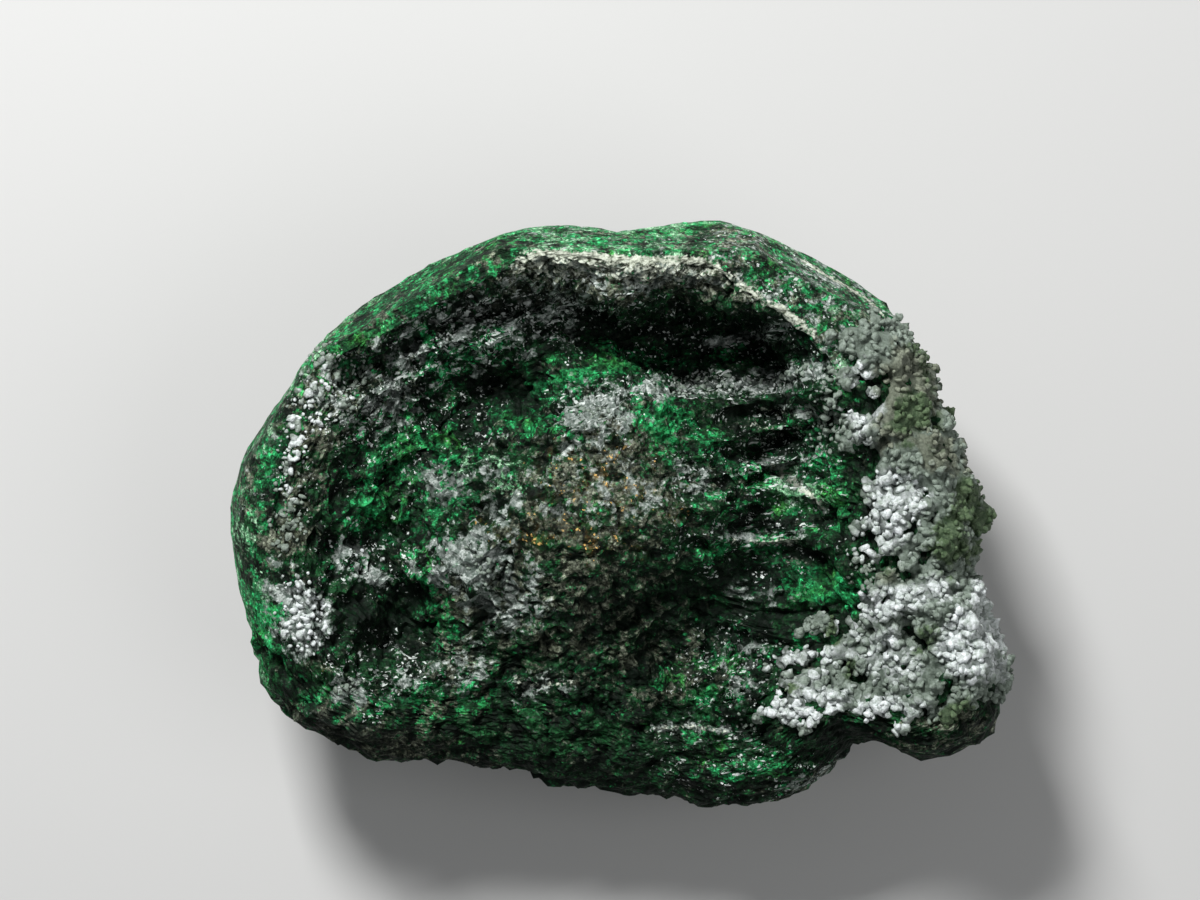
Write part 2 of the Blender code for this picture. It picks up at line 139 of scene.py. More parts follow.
# Little facets and crumbs left by the break: their size, their depth on the break and on natural faces, and
# how much of each is a rounded lump
FACETS = ((1.10, 0.22, 0.012, 0.0), (0.46, 0.150, 0.022, 0.35), (0.21, 0.085, 0.020, 0.6))
# How crumbs are drawn out where the break is layered
LAYER_STRETCH = (0.36, 1.0, 1.0)

# How finely the garnet is made: the subdivisions of the ball, and the front's share of it
GARNET_LEVEL = 7
FRONT_SHARE = 0.86

# The matrix's area seen from above, and the lowest level that it reaches
MATRIX_AREA = [
    (4.50, 4.75), (5.15, 4.00), (5.30, 2.80), (5.25, 2.10), (5.75, 0.85), (5.80, -0.35), (6.20, -1.45),
    (5.60, -2.15), (4.20, -2.45), (4.15, -3.00), (3.45, -3.95), (2.95, -4.95), (4.25, -5.25),
    (5.60, -4.65), (6.45, -5.15), (7.90, -5.20), (8.30, -4.55), (12.00, -4.00), (12.00, 5.20),
    (6.60, 4.75), (5.85, 4.95),
]
MATRIX_LOWEST = 3.3
MATRIX_EDGE = 1.3
MATRIX_GAPS = {
    "strand_hole": (4.60, -3.05, 0.70, 0.30, 10, 1.00),
    "strand_hole_low": (4.45, -3.72, 0.60, 0.22, 8, 1.00),
    "strand_hole_right": (5.60, -3.45, 0.35, 0.22, 0, 0.80),
    "dent": (7.18, -3.02, 0.32, 0.55, 20, 0.90),
    "low_slit": (7.88, -4.18, 0.32, 0.14, 10, 0.90),
    "shore_bay": (3.90, -4.35, 0.40, 0.18, 15, 0.80),
}

# The matrix is lumps fused into a bed, with loose grains on it and fine ones left on the garnet: how many
# there are to a square millimetre, and their smallest and largest radius
LUMPS = (12.0, 0.16, 0.36)
GRAINS = (44.0, 0.060, 0.180)
POWDER = (72.0, 0.040, 0.170)
GRAIN_SHAPES = ((0.60, 0.60, 0.60), (1.35, 1.35, 1.35))
BALL_POINTS = 42

# The bed: the size and depth of the lumps it is cut into, how finely it is fused, and the triangles it keeps
COBBLES = ((0.42, 0.03), (0.20, 0.03))
LUMP_VOXEL = 0.075
LUMP_FACES = 60000
OUTWARD = (0.5, 0.0, 0.87)

# What each scatter of grains is given
SCATTER_INPUTS = {
    "Surface": "Geometry",
    "Grains per Square Metre": "Float",
    "Smallest Radius": "Float",
    "Largest Radius": "Float",
    "Seed": "Int",
    "Material": "Material",
}

# The garnet's colour patches as x, y, radius x, radius y, turn and strength, and its lines as corners, width
# and strength
PATCH_EDGE = 1.4
FROST_PATCHES = {
    "left_patch": (-7.71, -2.32, 0.63, 1.11, 22, 0.95),
    "left_patch_foot": (-6.50, -4.16, 0.39, 0.29, 0, 0.80),
    "left_lumps": (-6.99, 2.92, 0.53, 0.53, 0, 0.45),
    "boss_top": (-0.46, 2.47, 0.85, 0.60, 0, 0.95),
    # The wall patch is partly the wall's own grey and partly painted light
    "wall": (-0.30, 5.72, 2.70, 0.34, 0, 0.50),
    "boss_top_tail": (-0.82, 1.60, 0.73, 0.53, 0, 0.45),
    "boss_left": (-3.48, -1.18, 1.25, 0.80, -20, 1.00),
    "boss_left_tail": (-2.76, -2.15, 0.95, 0.65, 0, 0.75),
    "boss_west": (-2.88, 0.39, 0.63, 1.09, 10, 0.40),
    "boss_east": (1.72, 0.92, 0.63, 0.34, -30, 0.45),
    "boss": (-0.46, 0.70, 2.00, 1.10, 0, 0.24),
    "crest_foot": (-1.60, 6.02, 1.10, 0.14, 2, 0.60),
    "hollow_streaks": (-2.90, 4.85, 1.95, 0.50, 14, 0.45),
    "hollow_streak_low": (-3.96, 4.30, 0.87, 0.29, 24, 0.60),
    "bevel_foot": (-5.60, 4.05, 0.70, 0.30, 30, 0.55),
    "left_flecks": (-5.05, 3.96, 0.63, 0.34, 20, 0.70),
    "left_middle": (-4.33, 0.87, 0.97, 0.53, -20, 0.35),
    "left_upper": (-5.60, 2.70, 1.00, 0.70, 15, 0.55),
    # glint_1 and glint_2 are painted glints: white where the stone glints
    "glint_1": (-6.41, -0.77, 0.31, 0.22, 0, 0.95),
    "glint_2": (-6.07, -1.38, 0.48, 0.24, -15, 0.85),
    "low_left_grey": (-3.80, -3.48, 0.63, 0.73, 0, 0.45),
    "low_left_glints": (-5.17, -3.96, 0.48, 0.44, 0, 0.45),
    "low_streaks": (-1.91, -4.11, 0.82, 0.29, 8, 0.55),
    "teal_shore": (3.05, -3.67, 0.48, 0.87, 0, 0.40),
    "upper_right_low": (5.58, 4.13, 0.63, 0.44, -30, 0.60),
    "ledge_low": (3.41, -1.84, 0.73, 0.34, 0, 0.35),
}
FROST_LINES = {
    "ledge_band": (((0.51, 3.00), (1.96, 3.19), (3.41, 3.19), (4.74, 3.48)), 0.31, 0.65),
    "hollow_streak": (((2.27, 4.18), (3.05, 4.35), (3.96, 4.54)), 0.19, 0.65),
    "upright_streak": (((-0.87, 5.22), (-1.18, 4.62), (-1.28, 4.13)), 0.15, 0.60),
    "right_streak": (((4.06, 2.59), (4.91, 2.32)), 0.12, 0.70),
    "foot_line": (((0.87, -5.20), (1.72, -5.12), (2.63, -5.27)), 0.10, 0.75),
    "foot_line_low": (((3.89, -6.87), (4.74, -6.43), (5.49, -5.95)), 0.17, 0.45),
    "eye_streak": (((-3.60, 3.48), (-2.88, 3.77), (-2.03, 3.96)), 0.10, 0.45),
    "right_ridge": (((3.75, 1.20), (4.20, 0.85), (4.60, 0.48), (5.00, 0.15)), 0.16, 0.30),
    "lens_rim": (((2.90, 1.32), (4.00, 1.27), (4.90, 1.42)), 0.09, 0.60),
    "lens_rim_low": (((2.20, -0.42), (3.30, -0.50), (4.40, -0.40)), 0.09, 0.65),
    "bevel_streak_1": (((-4.60, 4.55), (-3.70, 4.82), (-2.90, 5.02)), 0.07, 0.60),
    "bevel_streak_2": (((-4.00, 4.22), (-3.10, 4.50), (-2.30, 4.68)), 0.07, 0.60),
    "bevel_streak_3": (((-3.20, 4.12), (-2.40, 4.28), (-1.60, 4.42)), 0.06, 0.60),
    "bevel_streak_4": (((-2.40, 4.95), (-1.60, 5.08)), 0.06, 0.60),
    "bevel_streak_5": (((-5.60, 3.70), (-4.90, 3.98), (-4.30, 4.22)), 0.07, 0.50),
}
# Pale cream lines along the rim, ridges, ledge edges and streaks: painted highlights where these edges catch
# the light
CREAM_HIGHLIGHT_LINES = {
    "right_edge": (((4.42, 6.16), (4.86, 5.90), (5.34, 5.61), (5.99, 5.25), (6.40, 4.75)), 0.045, 0.90),
    "right_ridge": (((3.75, 1.22), (4.20, 0.88), (4.60, 0.52), (4.98, 0.18)), 0.08, 0.85),
    "right_streak": (((3.20, 2.62), (4.06, 2.52), (4.91, 2.32)), 0.05, 0.45),
    "lens_line": (((2.73, -0.60), (3.53, -0.68), (4.33, -0.65)), 0.06, 0.65),
    "lens_line_low": (((4.01, -1.09), (4.52, -1.11)), 0.05, 0.65),
    "upper_lens_line": (((2.90, 2.30), (3.70, 2.12), (4.40, 2.15)), 0.05, 0.50),
    "foot_line": (((0.87, -5.20), (1.72, -5.12), (2.63, -5.27)), 0.06, 0.50),
    "low_streak": (((-2.50, -4.00), (-1.90, -4.11), (-1.10, -4.02)), 0.06, 0.50),
}
EMERALD_PATCHES = {
    "left_rim": (-8.39, 1.23, 0.53, 1.45, -8, 0.60),
    "left_rim_top": (-7.71, 3.29, 0.34, 0.73, -30, 0.45),
    "left_rim_low": (-8.63, -2.27, 0.48, 1.11, 10, 0.80),
    "left_corner": (-6.62, 3.48, 0.58, 0.34, 0, 0.45),
    "mint_fleck": (-4.54, 4.35, 0.24, 0.24, 0, 0.90),
    "hollow_west": (-4.33, 3.72, 0.58, 0.48, 20, 0.75),
    "hollow_west_low": (-3.60, 3.96, 0.97, 0.29, 24, 0.55),
    "left_middle": (-5.05, 1.47, 1.45, 0.97, -10, 0.55),
    "left_middle_low": (-5.78, 0.27, 0.87, 0.97, 0, 0.70),
    "left_low": (-4.45, -1.06, 0.58, 1.21, 0, 0.60),
    "boss_west": (-4.09, 0.63, 0.63, 0.63, 0, 0.85),
    "pit_shore": (-1.43, 3.17, 1.45, 0.39, 12, 0.75),
    "pit_low": (-2.39, 2.32, 1.45, 0.39, -8, 0.65),
    "hollow_floor": (0.51, 3.90, 2.18, 0.45, 4, 0.60),
    "boss_east": (0.87, 2.27, 0.63, 0.73, 0, 0.80),
    "boss_east_low": (1.72, 1.72, 1.21, 0.39, 0, 0.55),
    "ledges": (3.41, 0.39, 1.69, 1.45, 0, 0.35),
    "ledge_right": (4.74, 1.11, 0.53, 1.45, 12, 0.70),
    "ledge_middle": (3.05, 1.11, 0.97, 0.29, -20, 0.65),
    "ledge_bright": (4.38, 0.48, 0.58, 0.39, -30, 0.90),
    "ledge_low": (2.97, -0.89, 1.45, 0.24, 0, 0.60),
    "emerald_step": (5.10, -1.74, 1.06, 0.44, -4, 1.00),
    "emerald_step_west": (4.13, -1.43, 0.73, 0.48, 0, 0.65),
    "crust_hole": (4.57, -3.00, 0.44, 0.34, 0, 0.60),
    "teal": (2.32, -3.77, 1.21, 1.06, 0, 0.42),
    "low_left": (-4.33, -2.51, 0.48, 1.06, 0, 0.45),
    "low_left_rim": (-6.99, -4.45, 0.97, 0.63, 0, 0.30),
    "low_middle": (-4.33, -4.45, 1.45, 0.48, 8, 0.45),
    "foot": (2.92, -6.02, 1.69, 0.73, -14, 0.40),
    "upper_right_low": (4.74, 4.38, 0.53, 0.58, 0, 0.75),
}
MINT_PATCHES = {
    "left_rim": (-8.63, 1.96, 0.34, 1.21, -12, 0.50),
    "left_rim_middle": (-9.02, -0.10, 0.39, 1.11, 0, 0.50),
    "left_corner": (-7.18, 3.72, 0.29, 0.39, -40, 0.55),
    "left_low": (-8.77, -1.79, 0.29, 0.63, 0, 0.45),
    "boss_west": (-3.12, 1.11, 0.97, 0.82, -30, 0.35),
    "ledge_ridge": (4.38, 0.68, 0.90, 0.26, -42, 1.00),
    "crust_edge": (5.46, 3.96, 0.39, 0.44, 0, 0.60),
}
BROWN_PATCHES = {
    "boss": (-0.46, 0.51, 2.30, 1.50, 0, 0.60),
    "boss_north": (0.15, 1.84, 1.45, 0.73, 0, 0.60),
    "boss_low": (-1.18, -1.79, 2.18, 1.21, -10, 0.55),
    "boss_foot": (-0.46, -3.24, 2.90, 0.87, -8, 0.40),
    "wall": (-0.46, 5.66, 2.66, 0.44, 0, 0.95),
    "wall_right": (2.32, 5.66, 1.06, 0.48, -24, 0.90),
    "wall_lumps": (-1.06, 5.10, 0.58, 0.34, 0, 0.60),
    "wall_left": (-2.39, 5.58, 0.44, 0.44, 0, 0.80),
    "left_band": (-7.28, 2.20, 0.58, 1.93, -14, 0.85),
    "left_band_low": (-8.00, -0.10, 0.53, 1.02, -6, 0.90),
    "left_lumps": (-6.62, 2.92, 0.68, 0.82, 0, 0.55),
    "left_interior": (-5.66, 3.17, 0.97, 0.73, 0, 0.35),
    "left_gap": (-7.18, -3.58, 0.34, 0.19, -20, 0.80),
    "low_left_spot": (-6.50, -4.45, 0.58, 0.34, 0, 0.60),
    "low_left_spot_2": (-4.33, -4.76, 0.58, 0.24, 0, 0.60),
    "boss_left": (-3.60, -1.79, 0.97, 0.97, 0, 0.55),
    "low_left_grey": (-3.80, -3.48, 0.73, 0.87, 0, 0.50),
    "underside": (-6.26, -5.29, 2.40, 0.50, -14, 0.90),
    "toe": (8.24, -5.29, 1.45, 0.53, 0, 0.55),
    "foot_edge": (4.62, -6.87, 1.21, 0.53, 20, 0.50),
    "right_low_lens": (2.32, 0.87, 0.97, 0.24, 0, 0.45),
}
# Dark patches: partly the stone's own black-green, partly painted shade in the top hollow, pits and holes, on
# the boss's lower side, and along the underside and toe
DARK_PATCHES = {
    "top_hollow": (0.75, 4.38, 2.85, 0.72, -5, 0.60),
    "top_hollow_right": (4.38, 4.13, 0.58, 0.48, -30, 0.80),
    "hollow_left": (-3.10, 5.35, 0.80, 0.20, 24, 0.60),
    "left_dark": (-5.66, 2.44, 1.11, 0.82, -20, 0.15),
    "left_dark_low": (-6.74, 0.87, 0.48, 1.21, 0, 0.50),
    "eye_pit": (-2.76, 3.00, 1.16, 0.63, -8, 0.90),
    "eye_pit_low": (-3.60, 2.20, 1.06, 0.53, -24, 0.70),
    "lens_1": (3.41, 2.71, 1.35, 0.19, -3, 0.90),
    "lens_2": (4.09, 1.79, 1.11, 0.39, 0, 0.95),
    "lens_3": (2.25, 0.92, 0.77, 0.34, 0, 0.90),
    "lens_4": (3.29, -0.05, 1.35, 0.27, 0, 0.95),
    "lens_5": (3.05, -1.43, 1.21, 0.44, 0, 0.70),
    "low_right_dark": (3.05, -2.51, 1.21, 0.73, 0, 0.70),
    "boss_shadow": (0.51, -2.51, 2.66, 1.45, -10, 0.65),
    "boss_shadow_low": (-1.43, -4.21, 2.66, 0.58, -6, 0.50),
    "left_hole": (-5.90, -2.63, 1.11, 0.87, 0, 0.85),
    "left_hole_top": (-5.29, -2.03, 0.97, 0.73, 0, 0.60),
    "left_pit": (-6.74, 0.39, 0.48, 0.97, 0, 0.60),
    "toe_slope": (5.22, -5.17, 1.45, 0.34, 6, 0.90),
    "toe": (7.76, -5.54, 1.93, 0.39, 0, 0.55),
    "crust_dent": (7.16, -2.85, 0.44, 0.39, 45, 0.90),
    "underside": (-6.60, -5.20, 2.60, 0.60, -14, 0.90),
    "foot": (1.96, -5.90, 1.45, 0.73, -12, 0.50),
}
GOLD_PATCHES = {
    "crown": (-0.34, 1.72, 0.53, 0.53, 0, 0.50),
    "crown_low": (-0.46, 0.87, 1.45, 0.82, 0, 0.60),
    "east": (1.33, 0.05, 0.34, 0.19, 0, 1.00),
    "west": (-2.15, -0.34, 1.45, 0.44, 0, 0.50),
    "low": (-0.46, -0.58, 1.21, 0.48, 0, 0.40),
    "left_gap": (-7.18, -3.58, 0.29, 0.15, -20, 0.50),
}
# Where the break glints: glossier, with tilted cells, and with painted glints as white flashes
GLINT_PATCHES = {
    "left_interior": (-5.29, 2.32, 2.18, 1.69, 0, 0.85),
    "left_glints": (-5.90, -1.06, 1.45, 0.82, 0, 1.00),
    "low_left": (-5.54, -3.72, 1.45, 0.97, 0, 0.90),
    "hollow_left": (-2.63, 4.74, 2.18, 0.77, 14, 1.00),
    "hollow": (0.75, 4.38, 3.14, 0.82, -4, 0.95),
    "ledge_band": (2.44, 3.19, 2.66, 0.44, 3, 1.00),
    "ledges": (3.41, 1.60, 1.93, 1.45, 0, 0.80),
    "ledges_low": (3.17, -0.58, 1.93, 0.97, 0, 0.70),
    "teal": (2.56, -3.77, 1.21, 1.11, 0, 1.00),
    "upper_right": (3.89, 5.46, 2.18, 0.97, -38, 0.60),
    "foot": (2.92, -6.14, 2.18, 0.97, -14, 0.60),
    "wall": (0.02, 5.58, 2.90, 0.48, 0, 0.25),
    "left_band": (-7.47, 1.84, 1.21, 2.42, -14, 0.30),
    "boss_top": (-0.46, 2.32, 1.21, 0.82, 0, 0.35),
    "boss_east": (1.72, 0.87, 0.97, 0.73, 0, 0.60),
}

# Where painted glints lie on the break as short slanting white strokes
STREAKED_PATCHES = {
    "bevel_foot": (-3.00, 4.62, 2.20, 0.60, 14, 1.00),
    "wall": (-0.60, 5.20, 1.40, 0.40, 0, 0.60),
    "hollow_west": (-4.60, 3.70, 1.20, 0.50, 20, 0.80),
    "left": (-6.00, 2.60, 0.90, 0.60, 20, 0.35),
    "ledge_band": (2.44, 3.19, 2.40, 0.35, 4, 0.50),
    "boss_top": (-0.60, 2.90, 1.20, 0.50, 10, 0.50),
    "hollow": (3.10, 4.35, 1.30, 0.25, 8, 0.45),
    "ledges": (3.60, 0.90, 1.60, 1.80, 0, 0.25),
    "teal": (2.60, -3.80, 1.00, 0.90, 0, 0.20),
    "foot": (3.00, -6.10, 2.00, 0.80, -14, 0.28),
    "low_left": (-5.20, -3.60, 1.20, 0.80, 0, 0.22),
}
STROKE_TURN = -0.22
STROKE_STRETCH = (0.27, 1.0, 1.0)

# The sizes of what the shaders draw: fine and soft mottling, clouds, flecks, specks, strokes, and the bumps
FINE_SIZE = 0.11
SOFT_SIZE = 0.13
CLOUD_SIZE = 0.42
FLECK_SIZE = 0.11
SPECK_SIZE = 0.055
STROKE_SIZE = 0.065
BUMP_SIZE = 0.14
BLOCK_SIZE = 0.12
BUMP_DEPTH = 0.06
RAGGED_SIZE = 0.08
RAGGED_REACH = 0.10

# The darkest colour of the garnet, also used for painted shade in gaps and hollows, and its brightest colour,
# also used for painted glints
BLACK_GREEN = (0.002, 0.006, 0.003)
FROST_WHITE = (0.740, 0.800, 0.760)

# Smooth noise lies between these values nearly everywhere. Each seed moves it this far.
NOISE_LOW = 0.32
NOISE_HIGH = 0.68
NOISE_SHIFT = 31.7

# The natural faces above the waist: azimuths, and how frosted, emerald, brown, dark and minty each is
RIM_TONES = (
    ((30, 60), (0.18, 0.50, 0.38, 0.45, 0.25)),
    ((61, 72), (0.12, 0.35, 0.65, 0.45, 0.20)),
    ((76, 111), (0.10, 0.52, 0.30, 0.25, 0.34)),
    ((116, 150), (0.00, 0.72, 0.50, 0.60, 0.02)),
    ((156, 200), (0.05, 0.40, 0.45, 0.55, 0.10)),
)
RIM_FADE = 3.0
RIM_SHOWN_WHOLE = (40, 145)

# The crest shows as a pale line, a painted highlight, between these azimuths and this wide, and the wall
# below it gets painted light
CREST_SHOWN = (40, 112)
CREST_WIDTH = 0.120
PAINTED_LIGHT_WALL = (66, 114)
# The sides where the rim's thin top edge gets a painted green glow
PAINTED_GLOW_SIDE = (40, 215)

# Where the break is smoother, and where its crumbs are drawn out into layers
CALM_PATCHES = {
    "boss": (-0.50, 0.10, 2.60, 2.10, 0, 0.35),
    "underside": (-5.80, -5.20, 2.60, 0.70, -14, 0.40),
}
LAYERED_PATCHES = {
    "right": (3.50, 0.90, 2.40, 3.00, 0, 1.00),
    "hollow": (1.40, 4.30, 3.40, 0.70, 4, 0.80),
    "foot": (3.40, -6.10, 2.40, 0.90, -14, 0.80),
}

# The matrix's colour patches
OLIVE_PATCHES = {
    "upper": (7.06, 2.51, 0.77, 0.63, -15, 0.95),
    "upper_edge": (7.40, 3.65, 0.50, 0.90, 20, 0.65),
    "middle": (6.91, 1.72, 0.82, 0.29, 0, 0.45),
    "outer": (8.44, 0.27, 0.82, 0.82, 20, 0.90),
    "outer_low": (8.00, -0.70, 0.87, 0.58, 0, 0.80),
    "outer_foot": (7.52, -1.43, 0.82, 0.34, 0, 0.45),
    "inner": (6.31, -1.06, 0.48, 0.39, 0, 0.30),
    "dent": (7.16, -2.85, 0.63, 0.44, 45, 0.40),
    "flank": (9.33, 0.87, 0.48, 1.69, 0, 0.55),
    "toe": (8.24, -5.05, 1.21, 0.53, 0, 0.80),
    "corner_gap": (4.67, -3.05, 0.58, 0.39, 0, 0.80),
    "corner_gap_2": (5.46, -3.77, 0.48, 0.29, 0, 0.50),
    "shore_low": (4.13, -4.21, 0.48, 0.34, 0, 0.50),
}
UMBER_PATCHES = {
    "upper": (6.90, 2.90, 1.10, 1.60, -20, 0.90),
    "outer": (7.52, 1.60, 1.21, 0.58, -30, 0.75),
    "outer_flank": (8.85, 1.84, 0.73, 1.21, -20, 0.65),
    "middle": (6.43, -1.43, 1.21, 0.48, 0, 0.45),
    "corner": (6.31, -3.48, 1.11, 0.58, 0, 0.20),
    "left_band": (-7.59, 1.35, 0.97, 2.66, -12, 0.35),
    "boss": (-0.46, 0.87, 2.18, 1.45, 0, 0.80),
    "wall": (0.02, 5.70, 3.38, 0.58, 0, 0.80),
}
WHITE_PATCHES = {
    "corner": (8.44, -3.00, 0.97, 1.06, 0, 1.00),
    "corner_middle": (6.40, -3.30, 1.20, 0.90, 0, 0.60),
    "corner_edge": (8.97, -2.03, 0.58, 0.87, 0, 0.90),
    "low_left": (4.38, -4.57, 1.21, 0.58, 8, 1.00),
    "low_middle": (6.31, -4.74, 1.21, 0.44, 8, 0.90),
    "low_strands": (4.38, -3.36, 1.21, 0.63, 0, 0.75),
    "shelf": (6.55, -2.03, 1.69, 0.48, 14, 0.85),
    "middle": (6.50, 0.27, 0.92, 1.11, 0, 0.80),
    "middle_low": (6.07, -0.70, 0.63, 0.48, 0, 0.70),
    "left_patch": (-7.71, -2.39, 0.97, 1.45, 20, 0.85),
    "left_band": (-7.40, 2.00, 0.90, 2.20, -12, 0.65),
    "upper_inner": (5.75, 2.70, 0.50, 1.30, 0, 0.65),
    # The glints patches whiten the powder grains where the garnet glints: painted glints
    "glints": (-6.21, -1.06, 0.97, 0.63, 0, 1.00),
    "glints_low": (-5.05, -4.21, 0.73, 0.58, 0, 1.00),
}

# Where fine matrix is left on the garnet
POWDER_PATCHES = {
    "left_patch": (-7.65, -2.30, 0.60, 1.15, 20, 0.55),
    "left_patch_foot": (-6.45, -4.15, 0.35, 0.30, 0, 0.40),
    "left_lump_1": (-7.28, 2.51, 0.50, 0.45, 0, 0.60),
    "left_lump_2": (-6.62, 2.97, 0.45, 0.40, 0, 0.55),
    "left_lump_3": (-7.00, 3.45, 0.45, 0.35, 0, 0.60),
    "left_lump_4": (-6.25, 3.40, 0.35, 0.30, 0, 0.45),
    "left_lump_5": (-7.75, 0.10, 0.30, 0.55, 0, 0.50),
    "boss_top": (-0.46, 2.45, 0.60, 0.45, 0, 0.35),
    "boss_left": (-3.30, -1.20, 0.80, 0.45, -20, 0.35),
    "glint": (-6.40, -0.80, 0.20, 0.15, 0, 0.60),
    "low_right_1": (4.70, -3.40, 1.10, 0.50, 15, 0.60),
    "low_right_2": (3.70, -4.75, 0.80, 0.35, 20, 0.70),
    "low_right_3": (5.00, -2.50, 0.80, 0.25, 0, 0.50),
    "matrix_shore": (5.25, 3.00, 0.50, 1.40, -10, 0.60),
    "matrix_shore_low": (5.85, -1.00, 0.40, 0.90, 0, 0.50),
    "matrix_shore_top": (5.50, 4.10, 0.45, 0.45, 0, 0.40),
}
POWDER_LINES = {
    "left_band": (((-6.95, 3.85), (-7.45, 2.80), (-7.75, 1.60), (-7.95, 0.40), (-8.10, -0.70)), 0.34, 0.55),
    "ledge_band": (((0.70, 3.05), (1.95, 3.22), (3.40, 3.22), (4.80, 3.55)), 0.18, 0.35),
}

# Camera and lights, in millimetres
PHOTO_WIDTH = 29.0
PHOTO_CENTRE = (-0.46, 1.60)
SUBJECT_LEVEL = 5.8
LENS = 135.0
SENSOR = 36.0


def smooth(low, high, value):
    share = np.clip((value - low) / (high - low), 0, 1)
    return share * share * (3 - 2 * share)


def around(azimuth, values):
    return np.interp(azimuth, AZIMUTHS, values)


def crest_inset(azimuth):
    azimuths, insets = zip(*CREST_LINE)
    return np.interp(azimuth, azimuths, insets)


def side(azimuth, span):
    """1 on the sides between two azimuths, fading to 0 past them."""
    middle, half = (span[0] + span[1]) / 2, (span[1] - span[0]) / 2
    away = np.abs((azimuth - middle + 180) % 360 - 180)
    return 1 - smooth(half - SIDE_FADE, half + SIDE_FADE, away)


def grain(points, size, seed):
    """Smooth noise from -1 to 1 with features of about one size."""
    return np.array([noise.noise(p) for p in (points / size + seed).tolist()])


def crystal_faces():
    """Unit normals of the garnet's rhombs and kites, turned so that one kite looks straight down."""
    indices = set()
    for form in ((1, 1, 0), (2, 1, 1)):
        for order in permutations(form):
            for signs in product((1, -1), repeat=3):
                indices.add(tuple(sign * index for sign, index in zip(signs, order)))
    normals = np.array(sorted(indices), float)
    normals /= np.linalg.norm(normals, axis=1)[:, None]
    across = np.array((0, 1, -1)) / 2 ** 0.5
    along = np.array((-1, 1, 1)) / 3 ** 0.5
    down = np.array((2, 1, 1)) / 6 ** 0.5
    return np.stack([normals @ across, normals @ along, -(normals @ down)], axis=1)


def face_distances(normals):
    """How far each natural face lies from the centre. The crystal is flattened towards its back, and a steep
    face lies no further in than the natural stretch of the outline, which it then touches."""
    distances = FACE_DISTANCE * (1 - FLATTENING * np.clip(-normals[:, 2], 0, 1) ** 2)
    outline = np.array(OUTLINE)
    azimuths = np.degrees(np.arctan2(outline[:, 1], outline[:, 0])) % 360
    natural = outline[(azimuths > NATURAL_SIDE[0]) & (azimuths < NATURAL_SIDE[1])]
    touching = ((natural - CENTRE[:2]) @ normals[:, :2].T).max(axis=0)
    return np.maximum(distances, touching)


def outline_radius(azimuth):
    points = np.array(OUTLINE)
    angles = np.degrees(np.arctan2(points[:, 1], points[:, 0]))
    order = np.argsort(angles)
    radii = np.hypot(points[:, 0], points[:, 1])
    return np.interp(azimuth, angles[order], radii[order], period=360)


def ellipse(x, y, form):
    """1 in the middle of a turned ellipse, falling smoothly to 0 outside it, times its strength."""
    mid_x, mid_y, radius_x, radius_y, turn, strength = form
    c, s = np.cos(radians(turn)), np.sin(radians(turn))
    along, across = c * (x - mid_x) + s * (y - mid_y), c * (y - mid_y) - s * (x - mid_x)
    return strength * np.exp(-((along / radius_x) ** 2 + (across / radius_y) ** 2) ** PATCH_EDGE)


def steps(x, y, wander, swing, flight):
    """Little scarps with a gentle tread behind each. They wander, and die out here and there."""
    centre, radii, turn, spacing, rise = flight
    c, s = np.cos(radians(turn)), np.sin(radians(turn))
    dx, dy = x - centre[0], y - centre[1]
    along, across = c * dx + s * dy, c * dy - s * dx
    reach = (along / radii[0]) ** 2 + (across / radii[1]) ** 2
    phase = (across / spacing + 0.9 * wander) % 1.0
    tread = smooth(0, 0.3, phase) * (1 - smooth(0.3, 1.0, phase))
    strength = smooth(-0.35, 0.45, swing)
    return rise * strength * (tread - 0.5) * (1 - smooth(0.4, 1.1, reach))


def inner_face(x, y, flat):
    """Height of the broken face inside its rim: its swells and its flights of steps."""
    warp_x = x + 0.35 * grain(flat, 1.5, 3.0)
    warp_y = y + 0.35 * grain(flat, 1.5, 9.0)
    level = np.full_like(x, FACE_LEVEL)
    for form in SWELLS.values():
        level += ellipse(warp_x, warp_y, form)
    wander = grain(flat * (0.35, 0.8, 1.0), 1.3, 21.0)
    swing = grain(flat * (0.5, 1.0, 1.0), 1.1, 77.0)
    for flight in STEP_FLIGHTS.values():
        level += steps(x, y, wander, swing, flight)
    fine_wander = 2.4 * wander + grain(flat * (0.5, 1.0, 1.0), 0.55, 88.0)
    fine_swing = grain(flat * (0.7, 1.0, 1.0), 0.8, 99.0)
    for flight in FINE_FLIGHTS.values():
        level += steps(x, y, fine_wander, fine_swing, flight)
    return level


def broken_face(x, y, azimuth, inset):
    """Height of the broken face, with the rim that stands round it."""
    flat = np.stack([x, y, np.zeros_like(x)], axis=1)
    level = inner_face(x, y, flat)
    crest = around(azimuth, CREST)
    start = crest_inset(azimuth)
    brow = around(azimuth, BROW_WIDTH)
    ragged = grain(flat, 1.3, 55.0) * (0.45 - 0.37 * side(azimuth, (60, 150)))
    drop = BROW_DROP * smooth(0, 1, (inset - start) / (brow + 0.05)) * smooth(0, 0.3, brow)
    wall = 1 - smooth(0, 1, (inset + ragged - start - brow) / around(azimuth, WALL_WIDTH))
    return level + (crest - drop - level) * wall


def natural_levels(x, y):
    """The highest and the lowest level that the natural faces leave at each place."""
    normals = crystal_faces()
    plan = np.stack([x - CENTRE[0], y - CENTRE[1]], axis=1)
    room = face_distances(normals) - plan @ normals[:, :2].T
    upward, downward = normals[:, 2] > 0.1, normals[:, 2] < -0.1
    highest = CENTRE[2] + (room[:, upward] / normals[upward, 2]).min(axis=1)
    lowest = CENTRE[2] + (room[:, downward] / normals[downward, 2]).max(axis=1)
    return highest, lowest


def rounded(level, end, inset, width):
    """Goes from a level to its end over a rounded shoulder of this width."""
    share = np.clip(inset / width, 0, 1)
    return level + (end - level) * np.sqrt(1 - (1 - share) ** 2)


